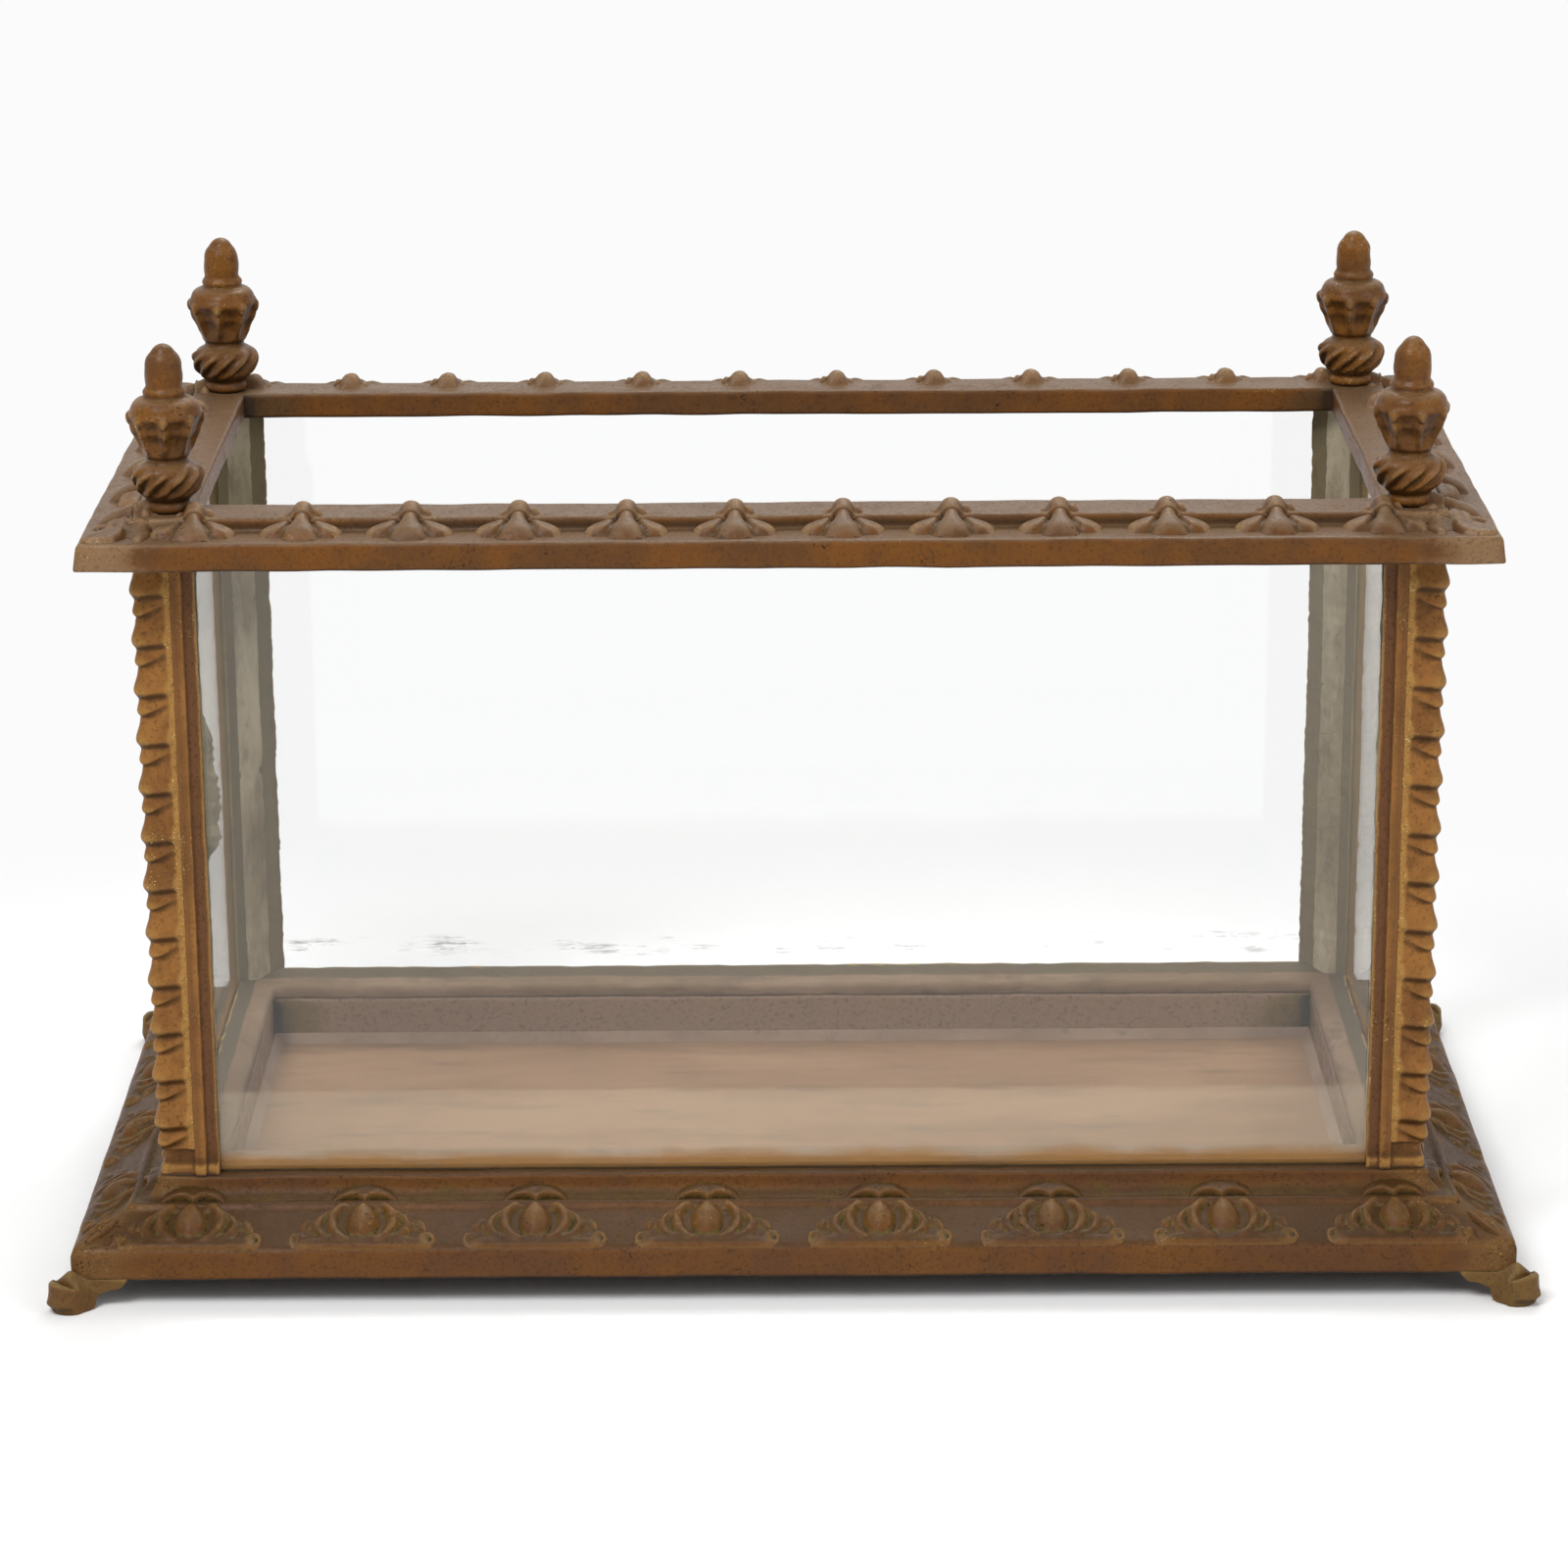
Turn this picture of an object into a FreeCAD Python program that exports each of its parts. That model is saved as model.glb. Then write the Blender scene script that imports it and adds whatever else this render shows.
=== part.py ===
import FreeCAD, Part

import math
import os

import Sketcher

# A cast-iron and plate-glass fish tank, standing on four bracket feet.
# The origin is on the ground, under the middle of the tank. +X runs along the long side to the
# right of the front, the front faces -Y, and +Z is up. Lengths are millimetres.
# Every corner piece is drawn about its own tie rod, with the tank's corner towards +X and +Y,
# and is then turned and moved to its corner.

# The frame: where the tie rods stand and how tall the posts are.
ROD_SPREAD_X = 500.0
ROD_SPREAD_Y = 214.0
POST_HEIGHT = 273.8

# The base casting.
FOOT_HEIGHT = 12.0
SKIRT_HEIGHT = 12.0
NOSE_DROP = 1.5
NOSE_RUN = 1.35
FIELD_RISE = 9.5
FIELD_RUN = 20.0
BEAD_RISE = 1.0
BEAD_RUN = 4.0
COVE_RISE = 6.0
COVE_RUN = 7.5
STEP_RISE = 2.9
STEP_RUN = 1.5
BASE_WALL = 4.5
CURB_REACH = 12.0
FLANGE_WIDTH = 14.0
FLANGE_THICK = 4.0
GUSSET_SIDE = 20.0
GUSSET_THICK = 4.5
PEDESTAL_REACH = 6.0
PEDESTAL_RISE = 6.5
PEDESTAL_TOP_DROP = 1.5
SHELL_PITCH = 71.5
CREST_WIDTH = 25.0
CREST_DROP = 5.0
CREST_ROOT = 1.6
CREST_REACH = 9.5
EGG_WIDTH = 12.0
EGG_DROP = 8.3
EGG_ROOT = 16.6
EGG_REACH = 27.1

# The slate floor.
SLAB_THICK = 8.0
SLAB_GAP = 0.5
SLAB_PUTTY_WIDTH = 4.0

# The bracket feet and their screws.
FOOT_WING = 22.75
FOOT_WALL = 7.0
TOE_SIDE = 13.6
TOE_REACH = 10.85
TOE_CORNER = 3.5
TOE_LIP = 3.0
WING_TIP = 1.2
LUG_SIDE = 14.0
LUG_DROP = 4.0
LUG_FIT = 1.0
SCREW_DIA = 5.0
SCREW_HEAD_DIA = 8.6
SCREW_HEAD_THICK = 3.0
SCREW_TAIL = 2.5
SCREW_CLEAR = 0.25

# The corner posts.
POST_REACH = 14.4
POST_LEG = 24.6
POST_WALL = 3.6
STRIP_WIDTH = 5.3
STRIP_DROP = 1.2
HUSK_FOOT = 12.0
HUSK_HEAD = 11.0
HUSK_WAIST = 0.3
HUSK_BULGE = 1.9

# The panes, their putty and the cement in the corners.
GLASS_THICK = 6.0
PUTTY_THICK = 0.8
PANE_EDGE_GAP = 0.5
PANE_BED = 1.0
PANE_TOP_GAP = 2.0
BOTTOM_PUTTY_RISE = 10.4
BOTTOM_PUTTY_TOE = 1.5
BOTTOM_PUTTY_GAP = 2.0
CEMENT_WIDTH = 21.0
CEMENT_TOP_GAP = 0.5
CEMENT_CLEAR = 0.1

# The rim casting.
RIM_BAR_IN = 9.0
RIM_BAR_OUT = 15.0
RIM_BAR_RISE = 5.4
RIM_BAR_RAKE = 0.8
RIM_SHELF_OUT = 33.8
RIM_FASCIA = 11.3
RIM_FLARE = 1.5
RIM_WALL = 4.0
RIM_SKIRT = 11.0
RIM_SKIRT_WALL = 3.5
LEAF_PITCH = 43.4
LEAF_WIDTH = 26.0
LEAF_TOE_GAP = 2.6
LEAF_ROOT = 2.0
CORNER_LEAF_WIDTH = 15.0
CORNER_LEAF_RISE = 3.6

# The tie rods with their washers and nuts.
ROD_DIA = 6.0
ROD_HOLE_CLEAR = 0.3
ROD_BEVEL = 0.7
ROD_TAIL = 3.0
THREAD_CLEAR = 0.05
WASHER_DIA = 12.0
WASHER_THICK = 1.5
NUT_SIDE = 10.0
NUT_THICK = 5.0

# The finials.
FINIAL_LIFT = 0.2
FINIAL_HEIGHT = 68.6
FINIAL_RING_DIA = 17.4
FINIAL_RING_RISE = 4.2
FINIAL_BULB_RISE = 14.0
FINIAL_BULB_HALF = 6.3
FINIAL_NECK_DIA = 19.2
FINIAL_NECK_RISE = 21.4
FINIAL_VASE_DIA = 29.4
FINIAL_VASE_RISE = 42.6
FINIAL_COLLAR_DIA = 17.5
FINIAL_COLLAR_RISE = 47.8
FINIAL_COLLAR_THICK = 3.0
FINIAL_ACORN_DIA = 14.8
FINIAL_KNOB_DIA = 5.2
FINIAL_KNOB_RISE = 38.6
FINIAL_BORE_DEPTH = 38.0
FINIAL_ROD_DEPTH = 36.0

# The sheet's rows: a word, its size and what it means.
SIZES = {
    "frame": [
        ("rod_spread_x", ROD_SPREAD_X, "between the tie rods, along the tank"),
        ("rod_spread_y", ROD_SPREAD_Y, "between the tie rods, across the tank"),
        ("post_height", POST_HEIGHT, "from the ledge of the base to the underside of the rim's shelf"),
    ],
    "base": [
        ("foot_height", FOOT_HEIGHT, "from the ground to the bottom of the skirt"),
        ("skirt_height", SKIRT_HEIGHT, "flat band round the bottom of the base"),
        ("nose_drop", NOSE_DROP, "height of the rounded nose above the skirt"),
        ("nose_run", NOSE_RUN, "how far the nose reaches past the field"),
        ("field_rise", FIELD_RISE, "height of the sloping field that carries the shells"),
        ("field_run", FIELD_RUN, "depth of the sloping field"),
        ("bead_rise", BEAD_RISE, "height of the bead between the field and the cove"),
        ("bead_run", BEAD_RUN, "depth of that bead"),
        ("cove_rise", COVE_RISE, "height of the hollow cove"),
        ("cove_run", COVE_RUN, "depth of the hollow cove"),
        ("step_rise", STEP_RISE, "upright edge of the ledge"),
        ("step_run", STEP_RUN, "how far the ledge reaches past the posts"),
        ("base_wall", BASE_WALL, "thickness of the base casting"),
        ("curb_reach", CURB_REACH, "from a tie rod inwards to the curb's inner face"),
        ("flange_width", FLANGE_WIDTH, "inner flange that carries the slab"),
        ("flange_thick", FLANGE_THICK, "thickness of that flange"),
        ("gusset_side", GUSSET_SIDE, "square plate cast in each corner for the foot's screw"),
        ("gusset_thick", GUSSET_THICK, "thickness of that plate"),
        ("pedestal_reach", PEDESTAL_REACH, "how far the block under a post stands past the post"),
        ("pedestal_rise", PEDESTAL_RISE, "height of the block under a post"),
        ("pedestal_top_drop", PEDESTAL_TOP_DROP, "from the ledge down to that block's top"),
        ("shell_pitch", SHELL_PITCH, "between two shells of the base"),
        ("crest_width", CREST_WIDTH, "crest over each shell"),
        ("crest_drop", CREST_DROP, "from the cove's top down to a crest's foot"),
        ("crest_root", CREST_ROOT, "how far a crest starts past the posts, inside the casting"),
        ("crest_reach", CREST_REACH, "how far a crest stands past the posts"),
        ("egg_width", EGG_WIDTH, "ribbed egg in the middle of a shell"),
        ("egg_drop", EGG_DROP, "from the bead's top down to an egg's foot"),
        ("egg_root", EGG_ROOT, "how far past the posts an egg starts, inside the casting"),
        ("egg_reach", EGG_REACH, "how far an egg stands past the posts"),
    ],
    "slab": [
        ("slab_thick", SLAB_THICK, "slate floor"),
        ("slab_gap", SLAB_GAP, "between the slab's edge and the curb"),
        ("slab_putty_width", SLAB_PUTTY_WIDTH, "putty fillet between slab and curb"),
    ],
    "foot": [
        ("foot_wing", FOOT_WING, "length of a foot's bracket along the skirt"),
        ("foot_wall", FOOT_WALL, "thickness of that bracket"),
        ("toe_side", TOE_SIDE, "the toe is this square in plan"),
        ("toe_reach", TOE_REACH, "how far the toe stands past the skirt"),
        ("toe_corner", TOE_CORNER, "rounding of the toe's upright edges"),
        ("toe_lip", TOE_LIP, "how far the curled toe rises past the skirt's bottom"),
        ("wing_tip", WING_TIP, "thickness of a wing where it meets the toe's middle"),
        ("lug_side", LUG_SIDE, "square lug of the foot inside the base"),
        ("lug_drop", LUG_DROP, "from the skirt's bottom down to the lug's underside"),
        ("lug_fit", LUG_FIT, "between the lug and the base's wall"),
        ("screw_dia", SCREW_DIA, "machine screw that holds a foot"),
        ("screw_head_dia", SCREW_HEAD_DIA, "round head of that screw"),
        ("screw_head_thick", SCREW_HEAD_THICK, "thickness of that head"),
        ("screw_tail", SCREW_TAIL, "screw's end above the gusset"),
        ("screw_clear", SCREW_CLEAR, "round the screw in its holes, on the radius"),
    ],
    "post": [
        ("post_reach", POST_REACH, "from a tie rod out to the post's faces"),
        ("post_leg", POST_LEG, "width of each leg of the angle"),
        ("post_wall", POST_WALL, "thickness of a leg"),
        ("strip_width", STRIP_WIDTH, "set-back strip beside the glass"),
        ("strip_drop", STRIP_DROP, "how far that strip lies behind the leg's face"),
        ("husk_foot", HUSK_FOOT, "from the post's bottom to the first husk"),
        ("husk_head", HUSK_HEAD, "from the last husk to the post's top"),
        ("husk_waist", HUSK_WAIST, "how far the chain's narrow places stand past the post's faces"),
        ("husk_bulge", HUSK_BULGE, "how far the husks stand past those narrow places"),
    ],
    "glass": [
        ("glass_thick", GLASS_THICK, "plate glass"),
        ("putty_thick", PUTTY_THICK, "putty between a post and the glass"),
        ("pane_edge_gap", PANE_EDGE_GAP, "at a pane's upright edges"),
        ("pane_bed", PANE_BED, "putty under a pane"),
        ("pane_top_gap", PANE_TOP_GAP, "from a pane's top up to the rim's channel"),
        ("bottom_putty_rise", BOTTOM_PUTTY_RISE, "putty fillet at the foot of the glass, on the glass"),
        ("bottom_putty_toe", BOTTOM_PUTTY_TOE, "thickness of that fillet at the curb"),
        ("bottom_putty_gap", BOTTOM_PUTTY_GAP, "from the fillet's edge to the curb's inner face"),
        ("cement_width", CEMENT_WIDTH, "cement fillet in each upright inner corner, on the glass"),
        ("cement_top_gap", CEMENT_TOP_GAP, "from the cement up to the rim's inner skirt"),
        ("cement_clear", CEMENT_CLEAR, "round the tie rod in the cement, on the radius"),
    ],
    "rim": [
        ("rim_bar_in", RIM_BAR_IN, "from a tie rod in to the rim's opening"),
        ("rim_bar_out", RIM_BAR_OUT, "from a tie rod out to the raised bar's edge"),
        ("rim_bar_rise", RIM_BAR_RISE, "raised bar above the shelf"),
        ("rim_bar_rake", RIM_BAR_RAKE, "how far the raised bar's outer side leans in"),
        ("rim_shelf_out", RIM_SHELF_OUT, "from a tie rod out to the shelf's edge"),
        ("rim_fascia", RIM_FASCIA, "height of the outer band"),
        ("rim_flare", RIM_FLARE, "how far the band spreads at its bottom"),
        ("rim_wall", RIM_WALL, "thickness of the rim casting"),
        ("rim_skirt", RIM_SKIRT, "inner skirt of the rim, from the bar's top down"),
        ("rim_skirt_wall", RIM_SKIRT_WALL, "thickness of the inner skirt"),
        ("leaf_pitch", LEAF_PITCH, "between two leaves of the rim"),
        ("leaf_width", LEAF_WIDTH, "leaf of the rim"),
        ("leaf_toe_gap", LEAF_TOE_GAP, "from a leaf's toe to the shelf's edge"),
        ("leaf_root", LEAF_ROOT, "how far a leaf is let into the shelf"),
        ("corner_leaf_width", CORNER_LEAF_WIDTH, "leaf that crosses each corner of the rim"),
        ("corner_leaf_rise", CORNER_LEAF_RISE, "height of that leaf above the shelf"),
    ],
    "rod": [
        ("rod_dia", ROD_DIA, "tie rod"),
        ("rod_hole_clear", ROD_HOLE_CLEAR, "round the rod in the castings, on the radius"),
        ("rod_bevel", ROD_BEVEL, "bevelled ends of the rod"),
        ("rod_tail", ROD_TAIL, "rod below its nut"),
        ("thread_clear", THREAD_CLEAR, "between rod and nut, and rod and finial, on the radius"),
        ("washer_dia", WASHER_DIA, "washer under the base's ledge"),
        ("washer_thick", WASHER_THICK, "thickness of that washer"),
        ("nut_side", NUT_SIDE, "square nut"),
        ("nut_thick", NUT_THICK, "thickness of that nut"),
    ],
    "finial": [
        ("finial_lift", FINIAL_LIFT, "running gap between finial and rim"),
        ("finial_height", FINIAL_HEIGHT, "whole finial"),
        ("finial_ring_dia", FINIAL_RING_DIA, "ring at the finial's foot"),
        ("finial_ring_rise", FINIAL_RING_RISE, "height of that ring"),
        ("finial_bulb_rise", FINIAL_BULB_RISE, "from the finial's foot up to the bulb's widest place"),
        ("finial_bulb_half", FINIAL_BULB_HALF, "from there up and down to the ends of its round"),
        ("finial_neck_dia", FINIAL_NECK_DIA, "waist over the bulb, and the ends of its round"),
        ("finial_neck_rise", FINIAL_NECK_RISE, "from the ground ring's foot up to the waist"),
        ("finial_vase_dia", FINIAL_VASE_DIA, "ribbed vase at its shoulder"),
        ("finial_vase_rise", FINIAL_VASE_RISE, "from the finial's foot up to the vase's shoulder"),
        ("finial_collar_dia", FINIAL_COLLAR_DIA, "collar under the acorn"),
        ("finial_collar_rise", FINIAL_COLLAR_RISE, "from the finial's foot up to the collar"),
        ("finial_collar_thick", FINIAL_COLLAR_THICK, "thickness of the collar"),
        ("finial_acorn_dia", FINIAL_ACORN_DIA, "acorn at the top"),
        ("finial_knob_dia", FINIAL_KNOB_DIA, "round head of each of the vase's eight ribs"),
        ("finial_knob_rise", FINIAL_KNOB_RISE, "from the finial's foot up to those heads"),
        ("finial_bore_depth", FINIAL_BORE_DEPTH, "threaded bore in the finial"),
        ("finial_rod_depth", FINIAL_ROD_DEPTH, "rod above the rim's top"),
    ],
}

# Counts and shares. A share is a part of the size that it is multiplied by.
LONG_SIDE_LEAF_COUNT = 12
SHORT_SIDE_LEAF_COUNT = 6
LONG_SIDE_SHELL_COUNT = 8
SHORT_SIDE_SHELL_COUNT = 4
HUSK_COUNT = 12
VASE_RIB_COUNT = 8
HALF_SHARE = 0.5
THROUGH_SHARE = 2.0
QUARTER_ARC_SHARE = math.tan(math.radians(90.0) / 4)
FULL_TURN = 360.0
THREE_QUARTERS_TURN = 270.0
QUARTER_TURN = 90.0
HUSK_SHARES = [(0.0, 0.0), (0.14, 0.55), (0.34, 0.55), (0.44, 0.1), (0.52, 0.9), (0.70, 1.0)]
LEAF_ARC_SHARE = 0.55
CREST_ARC_SHARE = 0.40
EGG_ARC_SHARE = 0.95
CEMENT_ARC_SHARE = -0.28
WING_SHARES = [(0.30, 0.42), (0.62, 0.58), (0.86, 0.86)]
BULB_ARC_SHARE = 0.72
WAIST_ARC_SHARE = -0.14
ACORN_SHARES = [(0.96, 0.0), (1.0, 0.22), (0.86, 0.52), (0.55, 0.80), (0.20, 0.965)]
SHOULDER_ARC_SHARE = 0.40
BEAD_ARC_SHARE = 0.9


class Size:
    """A length: its value now, and the words by which an expression finds it in the sheet."""

    def __init__(self, value, words):
        self.value = value
        self.words = words

    def __add__(self, other):
        return Size(self.value + value_of(other), f"({self.words} + {words_of(other)})")

    def __sub__(self, other):
        return Size(self.value - value_of(other), f"({self.words} - {words_of(other)})")

    def __mul__(self, share):
        return Size(self.value * value_of(share), f"({self.words} * {words_of(share)})")

    def __neg__(self):
        return Size(-self.value, f"(0 - {self.words})")


def value_of(size):
    """The number behind a size or a plain share."""
    return size.value if isinstance(size, Size) else float(size)


def words_of(size):
    """The words behind a size or a plain share."""
    return size.words if isinstance(size, Size) else repr(float(size))


def half(size):
    """Half of a size."""
    return size * HALF_SHARE


def arc_radius(start, end, bulge_share):
    """Radius of the arc whose height is bulge_share of half its chord."""
    across = end[0] + (-start[0])
    along = end[1] + (-start[1])
    chord = Size(
        math.hypot(across.value, along.value),
        f"sqrt({across.words} ^ 2 + {along.words} ^ 2)",
    )
    bulge = abs(bulge_share)
    return half(chord) * ((1 + bulge * bulge) / (2 * bulge))


def fill_sheet(doc):
    """The sheet of driving sizes, and the same sizes as words for expressions."""
    sheet = doc.addObject("Spreadsheet::Sheet", "sizes")
    known = {}
    row = 1
    for group, rows in SIZES.items():
        sheet.set(f"A{row}", group)
        row += 1
        for alias, value, meaning in rows:
            sheet.set(f"A{row}", meaning)
            sheet.set(f"B{row}", repr(value))
            sheet.setAlias(f"B{row}", alias)
            known[alias] = Size(value, f"sizes.{alias}")
            row += 1
    doc.recompute()
    return known


class Sizes:
    """The sheet's sizes by name, with the few that are worked out from them."""

    def __init__(self, known):
        for alias, size in known.items():
            setattr(self, alias, size)
        self.zero = Size(0.0, "0")
        self.half_x = half(self.rod_spread_x)
        self.half_y = half(self.rod_spread_y)
        self.skirt_top = self.foot_height + self.skirt_height
        self.nose_top = self.skirt_top + self.nose_drop
        self.field_top = self.nose_top + self.field_rise
        self.bead_top = self.field_top + self.bead_rise
        self.cove_top = self.bead_top + self.cove_rise
        self.ledge = self.cove_top + self.step_rise
        self.step_out = self.post_reach + self.step_run
        self.cove_out = self.step_out + self.cove_run
        self.bead_out = self.cove_out + self.bead_run
        self.field_out = self.bead_out + self.field_run
        self.skirt_out = self.field_out + self.nose_run
        self.slab_top = self.foot_height + self.flange_thick + self.slab_thick
        self.post_top = self.ledge + self.post_height
        self.shelf_top = self.post_top + self.rim_wall
        self.bar_top = self.shelf_top + self.rim_bar_rise
        self.channel_top = self.bar_top - self.rim_wall
        self.skirt_foot = self.bar_top - self.rim_skirt
        self.putty_out = self.post_reach - self.post_wall
        self.glass_out = self.putty_out - self.putty_thick
        self.glass_in = self.glass_out - self.glass_thick
        self.rod_radius = half(self.rod_dia)
        self.hole_radius = self.rod_radius + self.rod_hole_clear
        self.screw_radius = half(self.screw_dia)
        self.wall_in = self.skirt_out - self.base_wall
        self.gusset_foot = self.foot_height + self.flange_thick
        self.gusset_top = self.gusset_foot + self.gusset_thick
        self.lug_out = self.wall_in - self.lug_fit
        self.screw_at = self.lug_out - half(self.lug_side)


def bind(thing, prop, size):
    """Tie one property of an object to the sheet."""
    thing.setExpression(prop, words_of(size))


def origin_plane(body, role):
    """One of a body's own origin planes."""
    return [face for face in body.Origin.OriginFeatures if face.Role == role][0]


def new_body(doc, name):
    """An empty body with its own label."""
    body = doc.addObject("PartDesign::Body", name)
    body.Label = name
    return body


def new_sketch(body, name, role, lift=None):
    """An empty sketch on an origin plane of its body, lifted along the plane's normal."""
    sketch = body.newObject("Sketcher::SketchObject", name)
    sketch.AttachmentSupport = [(origin_plane(body, role), "")]
    sketch.MapMode = "FlatFace"
    if lift is not None:
        bind(sketch, "AttachmentOffset.Base.z", lift)
    return sketch


def pin_point(sketch, line, end, place):
    """Hold one end of a line at a place that the sheet gives."""
    for kind, size, axis in (("DistanceX", place[0], -2), ("DistanceY", place[1], -1)):
        if value_of(size) == 0:
            sketch.addConstraint(Sketcher.Constraint("PointOnObject", line, end, axis))
        else:
            held = Sketcher.Constraint(kind, -1, 1, line, end, value_of(size))
            number = sketch.addConstraint(held)
            sketch.setExpression(f"Constraints[{number}]", words_of(size))


def add_loop(sketch, corners):
    """A closed outline through corners. A third value in a corner is the bulge of the arc that
    leaves it, as a share of half its chord: over zero it bulges to the right of the way."""
    first = sketch.GeometryCount
    shapes = []
    ends = []
    held = []
    for number, corner in enumerate(corners):
        start = corner
        end = corners[(number + 1) % len(corners)]
        start_at = FreeCAD.Vector(value_of(start[0]), value_of(start[1]), 0)
        end_at = FreeCAD.Vector(value_of(end[0]), value_of(end[1]), 0)
        bulge = corner[2] if len(corner) > 2 else 0
        if bulge == 0:
            shapes.append(Part.LineSegment(start_at, end_at))
            ends.append((1, 2))
            continue
        way = end_at - start_at
        middle = (start_at + end_at) * HALF_SHARE
        middle = middle + FreeCAD.Vector(way.y, -way.x, 0) * (bulge * HALF_SHARE)
        if bulge > 0:
            shapes.append(Part.Arc(start_at, middle, end_at))
            ends.append((1, 2))
        else:
            shapes.append(Part.Arc(end_at, middle, start_at))
            ends.append((2, 1))
        radius = arc_radius(start, end, bulge)
        held.append((Sketcher.Constraint("Radius", first + number, radius.value), radius))
    joints = []
    for number, corner in enumerate(corners):
        line = first + number
        following = (number + 1) % len(corners)
        start_end, far_end = ends[number]
        joints.append(
            Sketcher.Constraint("Coincident", line, far_end, first + following, ends[following][0])
        )
        for kind, size, axis in (("DistanceX", corner[0], -2), ("DistanceY", corner[1], -1)):
            if value_of(size) == 0:
                joints.append(Sketcher.Constraint("PointOnObject", line, start_end, axis))
            else:
                pin = Sketcher.Constraint(kind, -1, 1, line, start_end, value_of(size))
                held.append((pin, size))
    sketch.addGeometry(shapes)
    sketch.addConstraint(joints)
    known = sketch.ConstraintCount
    sketch.addConstraint([constraint for constraint, _ in held])
    for number, (_, size) in enumerate(held):
        sketch.setExpression(f"Constraints[{known + number}]", words_of(size))


def add_circle(sketch, centre, radius):
    """A circle whose centre and radius follow the sheet."""
    at = FreeCAD.Vector(value_of(centre[0]), value_of(centre[1]), 0)
    line = sketch.addGeometry(Part.Circle(at, FreeCAD.Vector(0, 0, 1), radius.value))
    if value_of(centre[0]) == 0 and value_of(centre[1]) == 0:
        sketch.addConstraint(Sketcher.Constraint("Coincident", line, 3, -1, 1))
    else:
        pin_point(sketch, line, 3, centre)
    number = sketch.addConstraint(Sketcher.Constraint("Radius", line, radius.value))
    sketch.setExpression(f"Constraints[{number}]", radius.words)


def box_corners(low, high):
    """The four corners of an upright rectangle, from its low and high corner."""
    return [(low[0], low[1]), (high[0], low[1]), (high[0], high[1]), (low[0], high[1])]


def pad(body, sketch, length, backwards=False):
    """Material from a sketch, along its plane's normal."""
    feature = body.newObject("PartDesign::Pad", sketch.Name + "_pad")
    feature.Profile = sketch
    feature.Reversed = backwards
    feature.AllowMultiFace = True
    bind(feature, "Length", length)
    return feature


def pocket(body, sketch, length, backwards=False):
    """A cut from a sketch, against its plane's normal, or along it if backwards."""
    feature = body.newObject("PartDesign::Pocket", sketch.Name + "_pocket")
    feature.Profile = sketch
    feature.Reversed = backwards
    feature.AllowMultiFace = True
    bind(feature, "Length", length)
    return feature


def revolve(body, sketch, turn=FULL_TURN):
    """Material turned round the sketch's upright axis."""
    feature = body.newObject("PartDesign::Revolution", sketch.Name + "_turned")
    feature.Profile = sketch
    feature.ReferenceAxis = (sketch, ["V_Axis"])
    feature.Angle = turn
    return feature


def add_ball(body, sketch, across, height, radius):
    """A ball, turned from a half disc whose flat side is upright in the sketch."""
    x = value_of(across)
    low = height - radius
    high = height + radius
    foot_at = FreeCAD.Vector(x, low.value, 0)
    head_at = FreeCAD.Vector(x, high.value, 0)
    side_at = FreeCAD.Vector(x + radius.value, height.value, 0)
    side = sketch.addGeometry(Part.Arc(foot_at, side_at, head_at))
    chord = sketch.addGeometry(Part.LineSegment(head_at, foot_at))
    sketch.addConstraint(Sketcher.Constraint("Coincident", side, 2, chord, 1))
    sketch.addConstraint(Sketcher.Constraint("Coincident", chord, 2, side, 1))
    sketch.addConstraint(Sketcher.Constraint("PointOnObject", side, 3, chord))
    pin_point(sketch, chord, 1, (across, high))
    pin_point(sketch, chord, 2, (across, low))
    ball = body.newObject("PartDesign::Revolution", sketch.Name + "_ball")
    ball.Profile = sketch
    ball.ReferenceAxis = (sketch, [f"Edge{chord + 1}"])
    ball.Angle = FULL_TURN
    return ball


def mitred_ring(doc, name, sizes, outline):
    """A moulding that runs round the tank. The outline is drawn in offsets from the tie rods."""
    body = new_body(doc, name)
    path = new_sketch(body, name + "_path", "XY_Plane")
    add_loop(
        path,
        [
            (sizes.half_x, sizes.zero),
            (sizes.half_x, sizes.half_y),
            (-sizes.half_x, sizes.half_y),
            (-sizes.half_x, -sizes.half_y),
            (sizes.half_x, -sizes.half_y),
        ],
    )
    section = new_sketch(body, name + "_section", "XZ_Plane")
    add_loop(section, [(sizes.half_x + point[0],) + tuple(point[1:]) for point in outline])
    ring = body.newObject("PartDesign::AdditivePipe", name + "_ring")
    ring.Profile = section
    ring.Spine = (path, [""])
    ring.Transition = "Right corner"
    return body


class Corner:
    """One corner of the tank: its name, the turn of its pieces and its two signs."""

    def __init__(self, name, turn, sign_x, sign_y):
        self.name = name
        self.turn = turn
        self.sign_x = sign_x
        self.sign_y = sign_y

    def place(self, pattern, name, sizes, height):
        """Set one piece of a pattern at this corner: turned, at its tie rod and at a height."""
        piece = pattern.Document.addObject("App::Link", f"{name}_{self.name}")
        piece.Label = f"{name}_{self.name}"
        piece.LinkedObject = pattern
        piece.Placement = FreeCAD.Placement(
            FreeCAD.Vector(0, 0, 0), FreeCAD.Rotation(FreeCAD.Vector(0, 0, 1), self.turn)
        )
        bind(piece, "Placement.Base.x", sizes.half_x * self.sign_x)
        bind(piece, "Placement.Base.y", sizes.half_y * self.sign_y)
        bind(piece, "Placement.Base.z", height)
        return piece


CORNERS = [
    Corner("back_right", 0 * QUARTER_TURN, 1, 1),
    Corner("back_left", 1 * QUARTER_TURN, -1, 1),
    Corner("front_left", 2 * QUARTER_TURN, -1, -1),
    Corner("front_right", 3 * QUARTER_TURN, 1, -1),
]


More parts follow.
